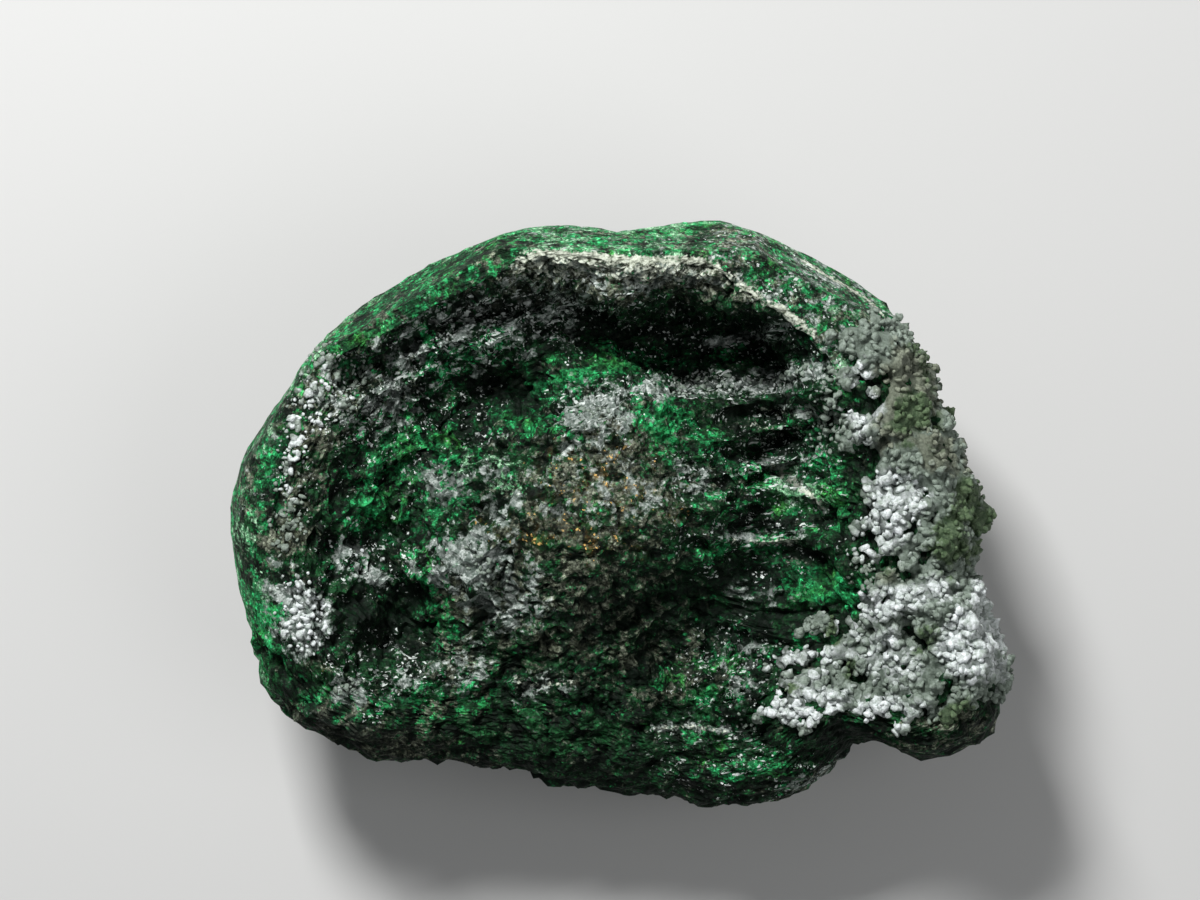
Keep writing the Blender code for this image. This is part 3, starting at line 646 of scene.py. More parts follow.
def fragment(directions):
    """Where each direction of a unit ball lands on the fragment's surface, in millimetres. Also gives each
    point's azimuth, how far inside the outline it lies, and whether it is on the front."""
    rim = 1 - 2 * FRONT_SHARE
    lift = directions[:, 2]
    front = lift >= rim
    spread = np.sqrt(np.clip(np.where(front, (1 - lift) / (1 - rim), (1 + lift) / (1 + rim)), 0, 1))
    reach = 0.5 * (spread + np.sin(0.5 * np.pi * spread))
    azimuth = np.degrees(np.arctan2(directions[:, 1], directions[:, 0]))
    radius = outline_radius(azimuth) - MATRIX_THICKNESS * side(azimuth, MATRIX_SIDE)
    x = reach * radius * np.cos(np.radians(azimuth))
    y = reach * radius * np.sin(np.radians(azimuth))
    inset = (1 - reach) * radius

    highest, lowest = natural_levels(x, y)
    waist = around(azimuth, WAIST)
    top = np.minimum(highest, broken_face(x, y, azimuth, inset))
    back_width = BACK_SHOULDER * (1 - side(azimuth, NATURAL_SIDE)) + LEAST_SHOULDER
    rounded_top = rounded(waist, top, inset, around(azimuth, SHOULDER))
    rounded_back = rounded(waist, lowest, inset, back_width)
    return np.stack([x, y, np.where(front, rounded_top, rounded_back)], axis=1), azimuth, inset, front


def cell_chance(cells, seed, count):
    """Numbers from 0 to 1 that depend only on each cell's three whole numbers and the seed."""
    spread = cells @ np.array((127.1, 311.7, 74.7)) + 19.19 * seed
    return [np.modf(np.abs(np.sin(spread + 37.3 * k) * 43758.5453))[0] for k in range(count)]


def cells(points, size, seed):
    """Little cells of about one size. Gives each point its cell's tilted plane, border distance, chance."""
    scaled = points / size
    home = np.floor(scaled)
    nearest = np.full(len(points), np.inf)
    second = np.full(len(points), np.inf)
    height, chance = np.zeros(len(points)), np.zeros(len(points))
    for shift in product((-1, 0, 1), repeat=3):
        drawn = cell_chance(home + shift, seed, 7)
        away = scaled - home - shift - np.stack(drawn[:3], axis=1)
        distance = np.einsum("ij,ij->i", away, away)
        tilt = 2 * np.stack(drawn[3:6], axis=1) - 1
        lean = 1.3 * np.einsum("ij,ij->i", tilt, away) + 0.8 * (drawn[6] - 0.5)
        closer = distance < nearest
        second = np.where(closer, nearest, np.minimum(second, distance))
        nearest = np.where(closer, distance, nearest)
        height = np.where(closer, lean, height)
        chance = np.where(closer, drawn[6], chance)
    return height, np.sqrt(second) - np.sqrt(nearest), chance


def crumbs(points, size, lumpiness, seed):
    """Heights from about -1 to 1 of crumbs, part flat facet and part lump, with their gaps and chances."""
    wobble = np.stack([grain(points, size, 5.0 + k) for k in range(3)], axis=1)
    plane, border, chance = cells(points + 0.30 * size * wobble, size, seed)
    lump = 2 * smooth(0, 0.55, border) - 1.2
    return (1 - lumpiness) * plane + lumpiness * lump, lumpiness * (1 - smooth(0, 0.22, border)), chance


def naturalness(azimuth, inset, front):
    """1 on the crystal's own faces and 0 on its breaks."""
    rim = side(azimuth, NATURAL_SIDE) * (1 - smooth(-0.05, 0.15, inset - crest_inset(azimuth)))
    back = np.maximum(side(azimuth, NATURAL_SIDE), smooth(1.0, 3.0, inset))
    return np.where(front, rim, back)


def read_vectors(mesh, kind):
    """The places or the normals of a mesh's points."""
    values = np.zeros(len(mesh.vertices) * 3, np.float32)
    mesh.vertices.foreach_get(kind, values)
    return values.reshape(-1, 3).astype(float)


def write_points(mesh, points):
    mesh.vertices.foreach_set("co", (points * MM).astype(np.float32).ravel())
    mesh.update()


def write_colour(mesh, name, channels):
    """Stores up to four channels as a colour layer. Those left out are 1."""
    values = np.ones((len(mesh.vertices), 4), np.float32)
    values[:, :len(channels)] = np.stack(channels, axis=1)
    layer = mesh.attributes.new(name, "FLOAT_COLOR", "POINT")
    layer.data.foreach_set("color", values.ravel())


def patches(x, y, forms=(), lines=()):
    """The strongest of the patches and lines at each point."""
    found = np.zeros(len(x))
    for form in dict(forms).values():
        found = np.maximum(found, ellipse(x, y, form))
    for corners, width, strength in dict(lines).values():
        away = line_distance(x, y, corners)
        found = np.maximum(found, strength * np.exp(-(away / width) ** 2))
    return found


def line_distance(x, y, corners):
    """How far each point lies from a line through the corners."""
    nearest = np.full(len(x), np.inf)
    points = np.stack([x, y], axis=1)
    for start, end in zip(np.array(corners[:-1]), np.array(corners[1:])):
        way = end - start
        share = np.clip((points - start) @ way / (way @ way), 0, 1)
        nearest = np.minimum(nearest, np.linalg.norm(points - start - share[:, None] * way, axis=1))
    return nearest


def inside(x, y, corners):
    """Which points lie inside a closed outline."""
    found = np.zeros(len(x), bool)
    for (x1, y1), (x2, y2) in zip(corners, corners[1:] + corners[:1]):
        crosses = (y1 > y) != (y2 > y)
        with np.errstate(divide="ignore", invalid="ignore"):
            at = x1 + (y - y1) * (x2 - x1) / (y2 - y1)
        found ^= crosses & (x < at)
    return found


def ball(name, level):
    mesh = bpy.data.meshes.new(name)
    bm = bmesh.new()
    bmesh.ops.create_icosphere(bm, subdivisions=level, radius=1.0)
    bm.to_mesh(mesh)
    bm.free()
    return mesh


def hollowness(mesh, points, rounds):
    """How deep each point lies among its neighbours, in millimetres: above 0 in hollows, below on ridges."""
    edges = np.zeros(len(mesh.edges) * 2, np.int32)
    mesh.edges.foreach_get("vertices", edges)
    edges = edges.reshape(-1, 2)
    near, far = np.concatenate([edges, edges[:, ::-1]]).T
    count = len(points)
    neighbours = np.maximum(np.bincount(near, minlength=count), 1)[:, None]
    average = points
    for _ in range(rounds):
        sums = [np.bincount(near, weights=average[far, axis], minlength=count) for axis in range(3)]
        average = np.stack(sums, axis=1) / neighbours
    return np.einsum("ij,ij->i", average - points, read_vectors(mesh, "normal"))


def garnet_crumbs(points, natural):
    """The crumbs of all sizes: their height, the gaps between them, and the chances of each size."""
    layered = np.clip(patches(points[:, 0], points[:, 1], LAYERED_PATCHES), 0, 1)
    relief, gap, chances = np.zeros(len(points)), np.zeros(len(points)), []
    for seed, (size, broken_depth, natural_depth, lumpiness) in enumerate(FACETS):
        even = crumbs(points, size, lumpiness, seed)
        drawn_out = crumbs(points * LAYER_STRETCH, 0.75 * size, 0.5 * lumpiness, seed + 40)
        height, seam, chance = (a + (b - a) * layered for a, b in zip(even, drawn_out))
        relief += (broken_depth * (1 - natural) + natural_depth * natural) * height
        gap = np.maximum(gap, seam * (1 - 0.8 * natural))
        chances.append(chance)
    return relief, gap, chances


def garnet_surface():
    """The garnet's whole surface as a mesh, with its colour layers."""
    mesh = ball("garnet", GARNET_LEVEL)
    points, azimuth, inset, front = fragment(read_vectors(mesh, "co"))
    natural = naturalness(azimuth, inset, front)
    foot = smooth(0.05, 0.9, points[:, 2])
    write_points(mesh, points)
    depth = foot * (ROUGH_FRACTURE * (1 - natural) + ROUGH_NATURAL * natural)
    rough = 0.65 * grain(points, 1.1, 31.0) + 0.45 * grain(points, 0.55, 47.0)
    points += read_vectors(mesh, "normal") * (depth * rough)[:, None]
    write_points(mesh, points)

    low_edge = side(azimuth, LOW_EDGE) * (1 - smooth(0.3, 1.8, inset))
    calm = np.maximum(0.50 * low_edge, patches(points[:, 0], points[:, 1], CALM_PATCHES))
    relief, gap, chances = garnet_crumbs(points, natural)
    points += read_vectors(mesh, "normal") * (foot * (1 - calm) * relief)[:, None]
    points[:, 2] = np.maximum(points[:, 2], 0.0)
    write_points(mesh, points)
    colour_garnet(mesh, points, azimuth, inset, front)
    # The hollowness and the gaps are kept for painted shade in hollows and between crumbs.
    hollow = np.clip(0.5 + 3.0 * hollowness(mesh, points, 24), 0, 1)
    write_colour(mesh, "crumb", (chances[1], chances[2], gap * (1 - calm), hollow))
    return mesh


def rim_toned(tones, azimuth, natural):
    """The tones of the patches, with the tones of the rim on the natural faces."""
    sharp = natural * side(azimuth, RIM_SHOWN_WHOLE)
    tones = [tone * (1 - sharp) for tone in tones]
    for (start, end), rim_tones in RIM_TONES:
        here = natural * smooth(-RIM_FADE, RIM_FADE, azimuth - start)
        here = here * smooth(-RIM_FADE, RIM_FADE, end - azimuth)
        tones = [np.maximum(tone, here * rim_tone) for tone, rim_tone in zip(tones, rim_tones)]
    return tones


def crest_line(points, azimuth, beyond):
    """Where the crest shows as a pale line: a painted highlight along its edge."""
    start, end = CREST_SHOWN
    line = np.exp(-(beyond / CREST_WIDTH) ** 2) * smooth(-6, 6, azimuth - start)
    return line * (smooth(-4, 4, end - azimuth) * (0.75 + 0.45 * grain(points, 0.5, 83.0)))


def colour_garnet(mesh, points, azimuth, inset, front):
    """Stores how frosted, emerald, brown, dark, gold-specked, minty, glinting, layered, cream and streaked
    the garnet is. Dark is partly painted shade, as along the low edge, the green and mint on the rim's top
    edge are a painted glow, cream holds painted highlights and painted light on the wall under the crest, and
    the streaks are painted glints."""
    broad = [grain(points, 0.9, seed) for seed in (61.0, 67.0)]
    small = [grain(points, 0.4, seed) for seed in (71.0, 73.0)]
    x, y = (points[:, k] + 0.26 * broad[k] + 0.14 * small[k] for k in range(2))
    near_x, near_y = (points[:, k] + 0.05 * small[k] for k in range(2))
    seen = front.astype(float)
    beyond = inset - crest_inset(azimuth)
    natural = seen * (1 - smooth(-0.02, 0.06, beyond))

    frost = np.maximum(patches(x, y, FROST_PATCHES), patches(near_x, near_y, lines=FROST_LINES))
    tables = (EMERALD_PATCHES, BROWN_PATCHES, DARK_PATCHES, MINT_PATCHES)
    found = [frost, *(patches(x, y, forms) for forms in tables)]
    frost, green, earth, dark, minty = rim_toned(found, azimuth, natural)
    # Painted light on the wall under the crest, which faces away from the key light: frost, brown and cream,
    # partly the wall's own brownish grey.
    painted_light_wall = side(azimuth, PAINTED_LIGHT_WALL) * (1 - smooth(0.10, 0.95, beyond)) * smooth(-0.02, 0.06, beyond)
    # Painted glow: green and mint along the rim's thin top edge, standing for light shining through it.
    edge = side(azimuth, PAINTED_GLOW_SIDE) * (1 - smooth(0.04, 0.22, inset)) * smooth(3.5, 5.0, points[:, 2])
    # Painted shade: the stone darkens along its low edge, which faces away from the key light.
    low_edge = side(azimuth, LOW_EDGE) * (1 - smooth(0.3, 1.4, inset))
    frost = np.maximum(frost, 0.30 * painted_light_wall)
    green = np.maximum(green, 0.9 * edge)
    earth = np.maximum(earth, 0.95 * painted_light_wall)
    dark = np.maximum(dark, 0.6 * low_edge)
    minty = np.maximum(minty, 0.5 * edge)
    write_colour(mesh, "tone", [seen * tone for tone in (frost, green, earth, dark)])

    gold, glint, layered = (patches(x, y, forms) for forms in (GOLD_PATCHES, GLINT_PATCHES, LAYERED_PATCHES))
    write_colour(mesh, "accent", [seen * tone for tone in (gold, minty, glint, layered)])
    # Painted highlight: the cream along the crest and the edges.
    cream = np.maximum(crest_line(points, azimuth, beyond), patches(near_x, near_y, lines=CREAM_HIGHLIGHT_LINES))
    cream = np.maximum(cream, 0.55 * painted_light_wall)
    streaked = patches(x, y, STREAKED_PATCHES) * (1 - natural)
    write_colour(mesh, "trace", (seen * cream, seen * streaked))


def link_object(name, mesh):
    obj = bpy.data.objects.new(name, mesh)
    bpy.context.scene.collection.objects.link(obj)
    return obj


def finished(obj):
    """Turns the object's modifiers into its plain mesh."""
    bpy.context.view_layer.update()
    graph = bpy.context.evaluated_depsgraph_get()
    made = bpy.data.meshes.new_from_object(obj.evaluated_get(graph))
    obj.modifiers.clear()
    obj.data = made
    return obj


def thinned(obj, faces):
    """Applies a Decimate that leaves about this many triangles."""
    obj.data.calc_loop_triangles()
    count = len(obj.data.loop_triangles)
    if count > faces:
        decimate = obj.modifiers.new("thin", "DECIMATE")
        decimate.ratio = faces / count
        finished(obj)
    return obj


def patch_of(surface, name, wanted, cover_of):
    """The wanted triangles of a surface as a mesh of their own, with how thickly grains cover each point. The
    choice sees each triangle's middle and which way it faces."""
    surface.calc_loop_triangles()
    points = read_vectors(surface, "co") / MM
    corners = np.zeros(len(surface.loop_triangles) * 3, np.int32)
    surface.loop_triangles.foreach_get("vertices", corners)
    corners = corners.reshape(-1, 3)
    first, second, third = (points[corners[:, k]] for k in range(3))
    facing = np.cross(second - first, third - first)
    facing /= np.linalg.norm(facing, axis=1)[:, None] + 1e-12
    corners = corners[wanted((first + second + third) / 3, facing)]
    used, renumbered = np.unique(corners, return_inverse=True)
    mesh = bpy.data.meshes.new(name)
    mesh.from_pydata(points[used] * MM, [], renumbered.reshape(-1, 3).tolist())
    cover = mesh.attributes.new("cover", "FLOAT", "POINT")
    cover.data.foreach_set("value", cover_of(points[used]).astype(np.float32))
    return mesh


class Nodes:
    """Adds nodes to one tree. Sizes are in millimetres, and patterns and amounts run from 0 to 1."""

    def __init__(self, tree):
        self.tree = tree

    def add(self, kind, sockets=(), **settings):
        """A node with its settings, and each of the sockets given set or linked."""
        made = self.tree.nodes.new(kind)
        for name, value in settings.items():
            setattr(made, name, value)
        for key, value in dict(sockets).items():
            self.fill(made.inputs[key], value)
        return made

    def fill(self, socket, value):
        if isinstance(value, bpy.types.NodeSocket):
            self.tree.links.new(value, socket)
        elif socket.type == "RGBA":
            socket.default_value = (*value, 1.0)
        else:
            socket.default_value = value

    def math(self, operation, a, b):
        return self.add("ShaderNodeMath", {0: a, 1: b}, operation=operation).outputs[0]

    def plus(self, a, b):
        return self.math("ADD", a, b)

    def times(self, a, b):
        return self.math("MULTIPLY", a, b)

    def rising(self, value, rise, start):
        """A start that rises with a value."""
        return self.plus(self.times(value, rise), start)

    def vector(self, operation, a, b):
        second = "Scale" if operation == "SCALE" else 1
        return self.add("ShaderNodeVectorMath", {0: a, second: b}, operation=operation).outputs[0]

    def noise(self, place, size, seed, detail):
        """Smooth noise with features of about this size."""
        moved = self.vector("ADD", place, (seed * NOISE_SHIFT * MM, 0.0, 0.0))
        sockets = {"Vector": moved, "Scale": 1 / (size * MM), "Detail": detail, "Roughness": 0.62}
        return self.add("ShaderNodeTexNoise", sockets).outputs["Fac"]

    def cells(self, place, size, seed):
        """Little cells of this size, each with one random colour."""
        sockets = {"Vector": place, "W": seed, "Scale": 1 / (size * MM)}
        return self.add("ShaderNodeTexVoronoi", sockets, voronoi_dimensions="4D").outputs["Color"]

    def channels(self, colour):
        return self.add("ShaderNodeSeparateColor", {"Color": colour}).outputs

    def attribute(self, name):
        """The four channels of a colour layer."""
        found = self.add("ShaderNodeAttribute", attribute_name=name).outputs
        return (*self.channels(found["Color"]), found["Alpha"])

    def spread(self, value, low, high):
        """A value between two limits, spread smoothly from 0 to 1."""
        sockets = {"Value": value, "From Min": low, "From Max": high}
        return self.add("ShaderNodeMapRange", sockets, interpolation_type="SMOOTHSTEP").outputs["Result"]

    def mottle(self, place, size, seed, detail, high=NOISE_HIGH):
        """Smooth noise spread over the whole way from 0 to 1."""
        return self.spread(self.noise(place, size, seed, detail), NOISE_LOW, high)

    def cover(self, amount, pattern, softness):
        """Where a pattern lets an amount show: everywhere at 1, nowhere at 0."""
        grown = self.times(amount, 1 + softness)
        return self.spread(self.plus(grown, pattern), 1.0, 1.0 + softness)

    def cloud(self, place, layered, seed):
        """Fractal clouds, drawn out where the stone is layered."""
        drawn_out = self.vector("MULTIPLY", place, LAYER_STRETCH)
        even = self.noise(place, CLOUD_SIZE, seed, 6.0)
        long = self.noise(drawn_out, 0.7 * CLOUD_SIZE, seed, 6.0)
        mixed = self.add("ShaderNodeMix", {0: layered, 2: even, 3: long}, data_type="FLOAT").outputs[0]
        return self.spread(mixed, NOISE_LOW, NOISE_HIGH)

    def flecked(self, amount, share, cloud, cloudiness, fleck, softness):
        """Where flecks show: more of them where the amount is high, gathered into the clouds."""
        level = self.times(amount, share)
        swing = self.times(self.math("SUBTRACT", cloud, 0.5), cloudiness)
        lively = self.times(swing, self.spread(amount, 0.0, 0.3))
        return self.cover(self.plus(level, lively), fleck, softness)

    def mix(self, share, a, b, blend="MIX"):
        """One colour laid over another."""
        made = self.add("ShaderNodeMix", data_type="RGBA", blend_type=blend)
        named = {socket.identifier: socket for socket in made.inputs}
        for identifier, value in (("Factor_Float", share), ("A_Color", a), ("B_Color", b)):
            self.fill(named[identifier], value)
        return next(socket for socket in made.outputs if socket.identifier == "Result_Color")

    def random(self, kind, low, high, seed):
        """A random value or vector of its own for each point, between two limits."""
        made = self.add("FunctionNodeRandomValue", {"Seed": seed}, data_type=kind)
        limits = [socket for socket in made.inputs if socket.enabled]
        self.fill(limits[0], low)
        self.fill(limits[1], high)
        return next(socket for socket in made.outputs if socket.enabled)

    def ragged(self, place):
        """The place, shifted a little in a direction of its own, so that cells have ragged edges."""
        sockets = {"Vector": place, "Scale": 1 / (RAGGED_SIZE * MM), "Detail": 2.0}
        drift = self.add("ShaderNodeTexNoise", sockets).outputs["Color"]
        centred = self.vector("SUBTRACT", drift, (0.5, 0.5, 0.5))
        return self.vector("ADD", place, self.vector("SCALE", centred, RAGGED_REACH * MM))

    def slanted(self, place):
        """The place, turned and squeezed so that cells are drawn out into short slanting strokes."""
        sockets = {"Vector": place, "Angle": STROKE_TURN}
        turned = self.add("ShaderNodeVectorRotate", sockets, rotation_type="Z_AXIS").outputs[0]
        return self.vector("MULTIPLY", turned, STROKE_STRETCH)

    def glittering(self, place, size, tilt):
        """The surface's normal, tilted a little at random in each tiny cell, over a fine bump."""
        centred = self.vector("SUBTRACT", self.cells(place, size, 9.0), (0.5, 0.5, 0.5))
        own = self.add("ShaderNodeNewGeometry").outputs["Normal"]
        tilted = self.vector("ADD", own, self.vector("SCALE", centred, tilt))
        unit = self.add("ShaderNodeVectorMath", {0: tilted}, operation="NORMALIZE").outputs[0]
        blocks = self.channels(self.cells(place, BLOCK_SIZE, 14.0))[0]
        height = self.plus(self.noise(place, BUMP_SIZE, 12.0, 5.0), self.times(blocks, 0.25))
        sockets = {"Height": height, "Normal": unit, "Distance": BUMP_DEPTH * MM, "Strength": 1.0}
        return self.add("ShaderNodeBump", sockets).outputs["Normal"]


def scatter_tree():
    """Geometry Nodes: balls of mixed sizes over a surface, more and larger where its cover is higher."""
    tree = bpy.data.node_groups.new("scattered grains", "GeometryNodeTree")
    for name, kind in SCATTER_INPUTS.items():
        tree.interface.new_socket(name, in_out="INPUT", socket_type="NodeSocket" + kind)
    tree.interface.new_socket("Grains", in_out="OUTPUT", socket_type="NodeSocketGeometry")
    nodes = Nodes(tree)
    given = nodes.add("NodeGroupInput").outputs
    seed, smallest = given["Seed"], given["Smallest Radius"]

    cover = nodes.add("GeometryNodeInputNamedAttribute", {"Name": "cover"}).outputs["Attribute"]
    density = nodes.times(cover, given["Grains per Square Metre"])
    spread = {"Mesh": given["Surface"], "Density": density, "Seed": seed}
    points = nodes.add("GeometryNodeDistributePointsOnFaces", spread).outputs["Points"]
    size = nodes.times(nodes.math("POWER", nodes.random("FLOAT", 0.0, 1.0, seed), 2.0), cover)
    room = nodes.math("SUBTRACT", given["Largest Radius"], smallest)
    radius = nodes.plus(nodes.times(size, room), smallest)
    scale = nodes.vector("SCALE", nodes.random("FLOAT_VECTOR", *GRAIN_SHAPES, seed), radius)
    turn = nodes.random("FLOAT_VECTOR", (0.0, 0.0, 0.0), (6.28, 6.28, 6.28), seed)
    grain_ball = nodes.add("GeometryNodeMeshIcoSphere", {"Radius": 1.0, "Subdivisions": 2}).outputs["Mesh"]
    placing = {"Points": points, "Instance": grain_ball, "Rotation": turn, "Scale": scale}
    placed = nodes.add("GeometryNodeInstanceOnPoints", placing).outputs["Instances"]
    real = nodes.add("GeometryNodeRealizeInstances", {"Geometry": placed}).outputs["Geometry"]
    dressing = {"Geometry": real, "Material": given["Material"]}
    dressed = nodes.add("GeometryNodeSetMaterial", dressing).outputs["Geometry"]
    nodes.add("NodeGroupOutput", {"Grains": dressed})
    return tree


def scattered(name, ground, tree, grains, seed, material):
    """The grains that the tree scatters over a ground mesh, as one plain mesh object."""
    density, smallest, largest = grains
    obj = link_object(name, ground)
    scatter = obj.modifiers.new("scatter", "NODES")
    scatter.node_group = tree
    values = {
        "Grains per Square Metre": density / MM ** 2,
        "Smallest Radius": smallest * MM,
        "Largest Radius": largest * MM,
        "Seed": seed,
        "Material": material,
    }
    for item in tree.interface.items_tree:
        if item.in_out == "INPUT" and item.name in values:
            scatter[item.identifier] = values[item.name]
    return finished(obj)


def fused(obj):
    """Melts overlapping balls into one skin."""
    remesh = obj.modifiers.new("fuse", "REMESH")
    remesh.mode = "VOXEL"
    remesh.voxel_size = LUMP_VOXEL * MM
    return finished(obj)


def cut_into_lumps(obj):
    """Cuts the fused bed into little lumps. Returns each point's two lump chances, how much it is darkened (a
    little everywhere, more on white patches, and painted shade near seams) and how hollow it is."""
    mesh = obj.data
    points = read_vectors(mesh, "co") / MM
    normals = read_vectors(mesh, "normal")
    hollow = np.clip(0.5 + 5.0 * hollowness(mesh, points, 6), 0, 1)
    relief, seam, chances = np.zeros(len(points)), np.zeros(len(points)), []
    for number, (size, depth) in enumerate(COBBLES):
        moved = points + 0.2 * size * grain(points, size, 13.0)[:, None]
        _plane, border, chance = cells(moved, size, 70 + number)
        relief += depth * (smooth(0, 0.6, border) - 0.6)
        seam = np.maximum(seam, 1 - smooth(0, 0.25, border))
        chances.append(chance)
    write_points(mesh, points + normals * relief[:, None])
    white = patches(points[:, 0], points[:, 1], WHITE_PATCHES)
    return *chances, 0.15 + 0.45 * white + 0.25 * seam, hollow


def uneven(obj):
    """Makes each ball an uneven grain. Returns each point's two grain chances, painted shade that grows
    towards its foot, and a hollowness that is neither hollow nor ridge."""
    mesh = obj.data
    balls = read_vectors(mesh, "co").reshape(-1, BALL_POINTS, 3) / MM
    middles = balls.mean(axis=1, keepdims=True)
    reach = balls - middles
    radius = np.linalg.norm(reach, axis=2, keepdims=True)
    bumps = grain(balls.reshape(-1, 3), 0.10, 17.0).reshape(-1, BALL_POINTS, 1)
    write_points(mesh, (middles + reach * (1 + 0.90 * bumps)).reshape(-1, 3))
    # Painted shade: each grain darkens towards its foot.
    foot = 1 - smooth(-0.30, 0.40, (reach / radius)[:, :, 2].ravel())
    chances = np.random.default_rng(11).random((2, len(balls))).repeat(BALL_POINTS, axis=1)
    return *chances, 0.62 * foot, np.full(len(foot), 0.5)


def new_material(name):
    made = bpy.data.materials.new(name)
    made.use_nodes = True
    return made, Nodes(made.node_tree), made.node_tree.nodes["Principled BSDF"]


def garnet_patterns(nodes):
    """What the garnet's colours are drawn with: its colour layers, and the noise and flecks at each place."""
    place = nodes.add("ShaderNodeTexCoord").outputs["Object"]
    frost, green, earth, dark = nodes.attribute("tone")
    gold, minty, glint, layered = nodes.attribute("accent")
    cream, streaked = nodes.attribute("trace")[:2]
    chance, small_chance, gap, hollow = nodes.attribute("crumb")
    ragged = nodes.ragged(place)
    return SimpleNamespace(
        place=place, frost=frost, green=green, earth=earth, dark=dark, gold=gold, minty=minty, glint=glint,
        cream=cream, streaked=streaked, gap=gap, hollow=hollow,
        crumb_light=nodes.plus(nodes.times(chance, 0.5), nodes.times(small_chance, 0.5)),
        fine=nodes.mottle(place, FINE_SIZE, 2.0, 5.0),
        soft=[nodes.mottle(place, SOFT_SIZE, seed, 6.0) for seed in (21.0, 23.0, 25.0)],
        clouds=[nodes.cloud(place, layered, seed) for seed in (1.0, 3.0, 5.0, 7.0)],
        flecks=nodes.channels(nodes.cells(ragged, FLECK_SIZE, 3.0)),
        specks=nodes.channels(nodes.cells(ragged, SPECK_SIZE, 4.0)),
        strokes=nodes.channels(nodes.cells(nodes.slanted(place), STROKE_SIZE, 6.0)),
    )


def stone_colour(nodes, at):
    """Black-green stone with its brown, green, minty and dark stretches, each crumb lighter or darker at
    random, and painted sparkle speck by speck.
    """
    deep_green = (0.009, 0.062, 0.018)
    brown, grey_brown = (0.032, 0.038, 0.022), (0.230, 0.255, 0.190)
    emerald, bright_emerald = (0.006, 0.090, 0.018), (0.040, 0.500, 0.170)
    leaf, bright_leaf = (0.012, 0.078, 0.012), (0.100, 0.450, 0.080)
    mint, pale_mint = (0.075, 0.250, 0.110), (0.420, 0.640, 0.440)
    plus, times, mix, flecked = nodes.plus, nodes.times, nodes.mix, nodes.flecked

    base_light = plus(times(at.clouds[0], 0.6), times(at.crumb_light, 0.5))
    colour = mix(nodes.spread(base_light, 0.30, 0.95), BLACK_GREEN, deep_green)

    brown_here = flecked(nodes.rising(at.earth, 0.85, 0.15), 0.80, at.clouds[1], 0.90, at.soft[0], 0.80)
    brown_light = times(at.fine, plus(at.crumb_light, 0.25))
    colour = mix(brown_here, colour, mix(brown_light, brown, grey_brown))

    green_here = flecked(nodes.rising(at.green, 0.85, 0.15), 0.80, at.clouds[2], 0.90, at.soft[1], 0.80)
    green_light = plus(times(at.specks[1], at.flecks[1]), times(at.crumb_light, 0.25))
    leafy = nodes.spread(nodes.noise(at.place, 1.1, 31.0, 4.0), 0.50, 0.75)
    blue_side = mix(green_light, emerald, bright_emerald)
    yellow_side = mix(green_light, leaf, bright_leaf)
    colour = mix(green_here, colour, mix(leafy, blue_side, yellow_side))

    mint_here = flecked(at.minty, 0.85, at.clouds[3], 0.90, at.soft[2], 0.70)
    colour = mix(mint_here, colour, mix(times(at.fine, at.specks[0]), mint, pale_mint))
    dark_here = flecked(at.dark, 0.95, at.clouds[1], -0.50, at.soft[2], 0.60)
    colour = mix(times(dark_here, 0.85), colour, BLACK_GREEN)
    # Painted sparkle: each speck brightened or darkened as if its facet caught the light or not.
    painted_sparkle = times(at.specks[0], plus(at.flecks[0], 0.3))
    return mix(1.0, colour, nodes.rising(painted_sparkle, 1.9, 0.35), "MULTIPLY")


def overlaid(nodes, at, colour):
    """Lays pale frost, amber and gold specks, and cream over the stone. The cream is painted highlight along
    edges and painted light on the wall under the crest.
    """
    frost_grey = (0.110, 0.150, 0.125)
    amber, gold = (0.300, 0.170, 0.040), (0.800, 0.500, 0.160)
    cream_shade, cream = (0.110, 0.120, 0.078), (0.800, 0.860, 0.720)
    plus, times, mix = nodes.plus, nodes.times, nodes.mix

    frost_grain = plus(times(at.specks[2], 0.3), times(at.soft[0], 0.7))
    frost_amount = nodes.rising(at.frost, 0.90, 0.10)
    frost_here = nodes.flecked(frost_amount, 0.85, at.clouds[0], 1.00, frost_grain, 0.60)
    frost_light = times(at.fine, plus(at.flecks[0], 0.15))
    colour = mix(frost_here, colour, mix(frost_light, frost_grey, FROST_WHITE))

    gathered = times(at.gold, nodes.math("POWER", at.clouds[3], 2.5))
    colour = mix(times(gathered, times(at.soft[1], at.flecks[2])), colour, amber)
    small_gold = nodes.cover(times(gathered, 0.22), at.specks[1], 0.02)
    large_gold = nodes.cover(times(gathered, 0.10), at.flecks[1], 0.02)
    colour = mix(nodes.math("MAXIMUM", small_gold, large_gold), colour, gold)

    cream_light = plus(times(at.fine, 0.6), times(at.flecks[1], 0.5))
    return mix(nodes.cover(at.cream, at.fine, 0.60), colour, mix(cream_light, cream_shade, cream))


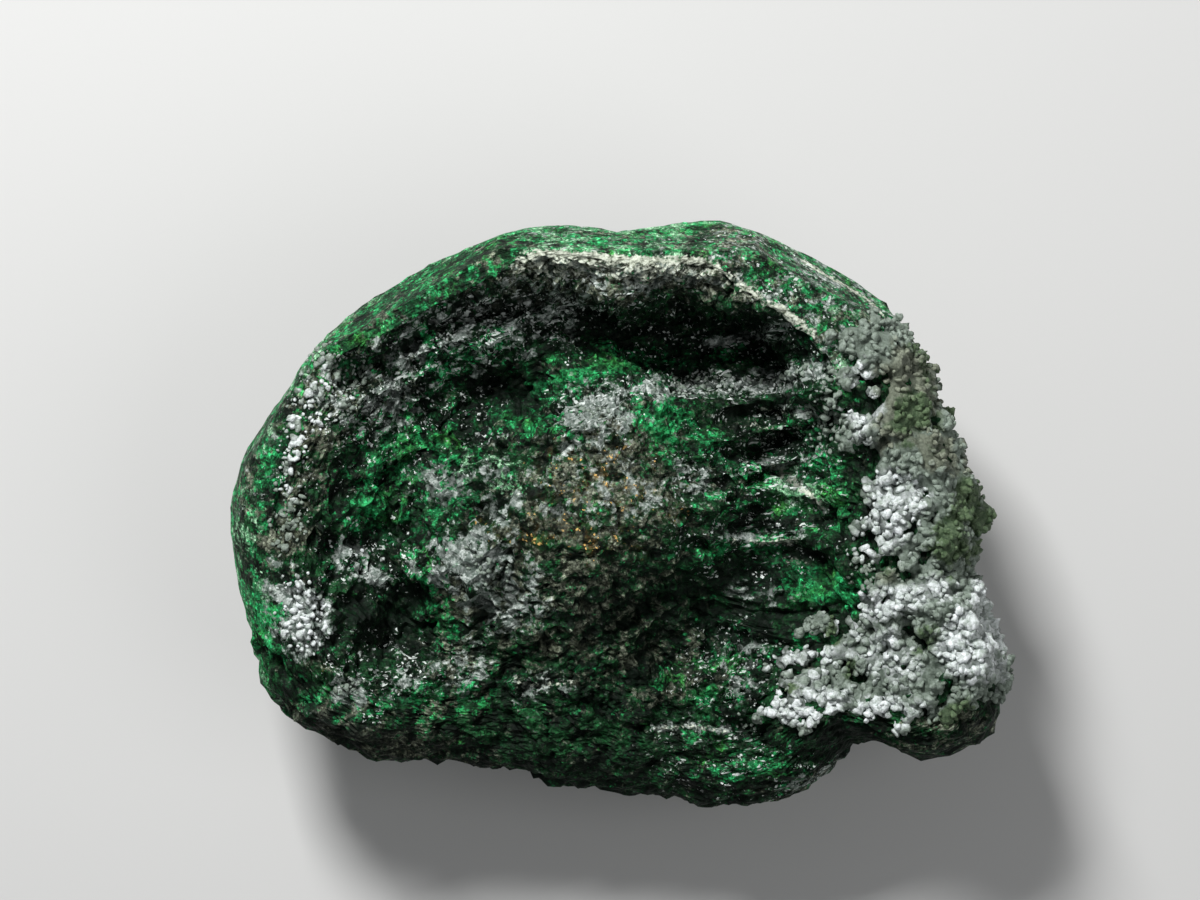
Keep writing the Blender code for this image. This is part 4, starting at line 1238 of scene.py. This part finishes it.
def glinting(nodes, at, colour):
    """Paints shade into the gaps between crumbs and into hollows, and paints glints as white flecks and
    slanting strokes.
    """
    times, mix = nodes.times, nodes.mix
    # Painted shade: the gaps between crumbs and the hollows are darkened towards black-green.
    deep = times(nodes.spread(at.hollow, 0.52, 0.80), 0.70)
    colour = mix(nodes.math("MAXIMUM", times(at.gap, 0.55), deep), colour, BLACK_GREEN)
    # Painted glints: white flashes where the break glints, and short slanting white strokes where it is
    # streaked.
    painted_flash = nodes.flecked(at.glint, 0.12, at.clouds[3], 0.35, at.specks[2], 0.06)
    colour = mix(times(painted_flash, nodes.spread(at.flecks[2], 0.2, 1.0)), colour, FROST_WHITE)
    painted_stroke_glint = nodes.flecked(at.streaked, 0.36, at.clouds[2], 0.70, at.strokes[0], 0.08)
    return mix(times(painted_stroke_glint, nodes.spread(at.strokes[1], 0.10, 1.00)), colour, FROST_WHITE)


def garnet_material():
    """Dark green garnet: emerald and mint crumbs, brown and black stretches, frost, gold specks, and glints,
    partly real gloss on tilted cells and partly painted as white flecks and strokes.
    """
    made, nodes, shader = new_material("garnet")
    at = garnet_patterns(nodes)
    colour = glinting(nodes, at, overlaid(nodes, at, stone_colour(nodes, at)))
    nodes.fill(shader.inputs["Base Color"], colour)
    sparkle = nodes.flecked(at.glint, 0.20, at.clouds[3], 0.40, at.specks[0], 0.05)
    nodes.fill(shader.inputs["Roughness"], nodes.math("SUBTRACT", 0.62, nodes.times(sparkle, 0.47)))
    shader.inputs["IOR"].default_value = 1.75
    shader.inputs["Specular IOR Level"].default_value = 0.08
    tilt = nodes.rising(at.glint, 0.50, 0.25)
    nodes.fill(shader.inputs["Normal"], nodes.glittering(at.place, 0.055, tilt))
    return made


def matrix_material():
    """Pale granular matrix: each grain its own grey or white, brown and olive in places, with painted shade
    between grains, at their feet and in hollows.
    """
    grey, pale, bright = (0.120, 0.155, 0.118), (0.330, 0.395, 0.340), (0.940, 0.980, 1.000)
    olive, pale_olive = (0.028, 0.062, 0.022), (0.150, 0.215, 0.115)
    umber, pale_umber = (0.085, 0.095, 0.066), (0.300, 0.330, 0.250)
    crevice_shade = (0.012, 0.026, 0.014)

    made, nodes, shader = new_material("matrix")
    plus, times, mix = nodes.plus, nodes.times, nodes.mix
    place = nodes.add("ShaderNodeTexCoord").outputs["Object"]
    green, earth, white = nodes.attribute("tone")[:3]
    chance, small_chance, seam, hollow = nodes.attribute("crumb")
    fine = nodes.mottle(place, 0.10, 2.0, 5.0, high=0.66)
    broad = nodes.mottle(place, 0.60, 3.0, 5.0)
    own = plus(times(chance, 0.55), times(broad, 0.45))
    light = plus(times(small_chance, 0.3), times(fine, 0.7))

    colour = mix(light, grey, pale)
    for amount, pattern, shade, tint in (
        (earth, own, umber, pale_umber),
        (white, own, pale, bright),
        (green, broad, olive, pale_olive),
    ):
        colour = mix(nodes.cover(amount, pattern, 0.5), colour, mix(light, shade, tint))
    # Painted shade: seams, grain feet and hollows darken towards the crevice shade colour.
    deep = times(nodes.spread(hollow, 0.52, 0.75), 0.90)
    colour = mix(nodes.math("MAXIMUM", seam, deep), colour, crevice_shade)
    nodes.fill(shader.inputs["Base Color"], colour)
    shader.inputs["Roughness"].default_value = 0.65
    shader.inputs["IOR"].default_value = 1.5
    shader.inputs["Specular IOR Level"].default_value = 0.30
    nodes.fill(shader.inputs["Normal"], nodes.glittering(place, 0.06, 0.20))
    return made


def make_garnet(surface):
    garnet = link_object("garnet", surface.copy())
    dress(garnet, garnet_material())
    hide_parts("garnet_crystal")


def in_matrix(points, _facing):
    found = inside(points[:, 0], points[:, 1], MATRIX_AREA) & (points[:, 2] > MATRIX_LOWEST)
    return found & (patches(points[:, 0], points[:, 1], MATRIX_GAPS) < 0.45)


def matrix_cover(points):
    """1 well inside the matrix's area, falling towards its edge."""
    edge = line_distance(points[:, 0], points[:, 1], MATRIX_AREA + MATRIX_AREA[:1])
    return 0.30 + 0.70 * smooth(0.0, MATRIX_EDGE, edge)


def looks_out(_points, facing):
    """The side of the matrix's bed that isn't against the garnet."""
    return facing @ OUTWARD > 0.0


def grain_cover(points):
    """More and larger grains where the matrix is whiter."""
    return 0.50 + 0.50 * patches(points[:, 0], points[:, 1], WHITE_PATCHES)


def make_matrix(ground, tree, material):
    """The matrix's bed and the loose grains on it, each a piece of its own."""
    bed_ground = patch_of(ground, "bed ground", in_matrix, matrix_cover)
    bed = scattered("matrix", bed_ground, tree, LUMPS, 3, material)
    bed = thinned(fused(bed), LUMP_FACES)
    grain_ground = patch_of(bed.data, "grain ground", looks_out, grain_cover)
    loose = scattered("grains", grain_ground, tree, GRAINS, 5, material)
    for piece, crumb_layers in ((bed, cut_into_lumps(bed)), (loose, uneven(loose))):
        colour_matrix(piece.data, crumb_layers)
        dress(piece, material)
    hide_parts("matrix_crust")


def colour_matrix(mesh, crumb_layers):
    """Stores where the matrix is olive-green, brownish and bluish white. Its flank's colours wander."""
    points = read_vectors(mesh, "co") / MM
    flank = 1 - smooth(4.6, 5.8, points[:, 2])
    x = points[:, 0] + 0.25 * grain(points, 0.8, 61.0) - 1.3 * flank * (0.5 + grain(points, 1.4, 43.0))
    y = points[:, 1] + 0.25 * grain(points, 0.8, 67.0) + 2.2 * flank * grain(points, 1.4, 53.0)
    tones = [patches(x, y, forms) for forms in (OLIVE_PATCHES, UMBER_PATCHES, WHITE_PATCHES)]
    write_colour(mesh, "tone", tones)
    write_colour(mesh, "crumb", crumb_layers)
    mesh.shade_smooth()


def on_powder(points, _facing):
    covered = ~inside(points[:, 0], points[:, 1], MATRIX_AREA)
    return covered & (points[:, 2] > MATRIX_LOWEST) & (powder_cover(points) > 0.12)


def powder_cover(points):
    """How much fine matrix lies on the garnet."""
    x = points[:, 0] + 0.18 * grain(points, 0.7, 61.0)
    y = points[:, 1] + 0.18 * grain(points, 0.7, 67.0)
    return patches(x, y, POWDER_PATCHES, POWDER_LINES)


def make_powder(ground, tree, material):
    powder_ground = patch_of(ground, "powder ground", on_powder, powder_cover)
    grains = scattered("powder", powder_ground, tree, POWDER, 8, material)
    colour_matrix(grains.data, uneven(grains))
    dress(grains, material)


def dress(piece, material):
    piece.data.materials.clear()
    piece.data.materials.append(material)
    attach(piece, BODY)


def make_floor():
    made, _nodes, shader = new_material("floor")
    shader.inputs["Base Color"].default_value = (0.62, 0.62, 0.61, 1.0)
    shader.inputs["Roughness"].default_value = 0.9
    mesh = bpy.data.meshes.new("floor")
    half = 0.6
    corners = [(-half, -half, 0), (half, -half, 0), (half, half, 0), (-half, half, 0)]
    mesh.from_pydata(corners, [], [(0, 1, 2, 3)])
    mesh.materials.append(made)
    link_object("floor", mesh)


def aimed_light(name, place, size, power):
    """A square soft light at a place in millimetres, looking at the middle of the object."""
    data = bpy.data.lights.new(name, "AREA")
    data.size = size * MM
    data.energy = power
    light = link_object(name, data)
    light.location = [value * MM for value in place]
    aim = Vector((0.0, 0.0, SUBJECT_LEVEL)) - Vector(place)
    light.rotation_euler = aim.to_track_quat("-Z", "Y").to_euler()


def make_lights():
    aimed_light("key", (-30.0, 66.0, 85.0), 26.0, 0.15)
    aimed_light("fill", (60.0, -20.0, 80.0), 70.0, 0.02)
    world = bpy.data.worlds.new("studio")
    world.use_nodes = True
    background = world.node_tree.nodes["Background"]
    background.inputs["Color"].default_value = (0.80, 0.82, 0.85, 1.0)
    background.inputs["Strength"].default_value = 0.17
    bpy.context.scene.world = world


def make_camera():
    data = bpy.data.cameras.new("camera")
    data.lens = LENS
    data.sensor_width = SENSOR
    data.clip_start = 0.005
    camera = link_object("camera", data)
    distance = PHOTO_WIDTH * LENS / SENSOR
    camera.location = (PHOTO_CENTRE[0] * MM, PHOTO_CENTRE[1] * MM, (SUBJECT_LEVEL + distance) * MM)
    bpy.context.scene.camera = camera


def main():
    surface = garnet_surface()
    make_garnet(surface)
    tree = scatter_tree()
    material = matrix_material()
    make_matrix(surface, tree, material)
    make_powder(surface, tree, material)
    make_floor()
    make_lights()
    make_camera()
    bpy.context.scene.view_settings.view_transform = "Standard"


main()
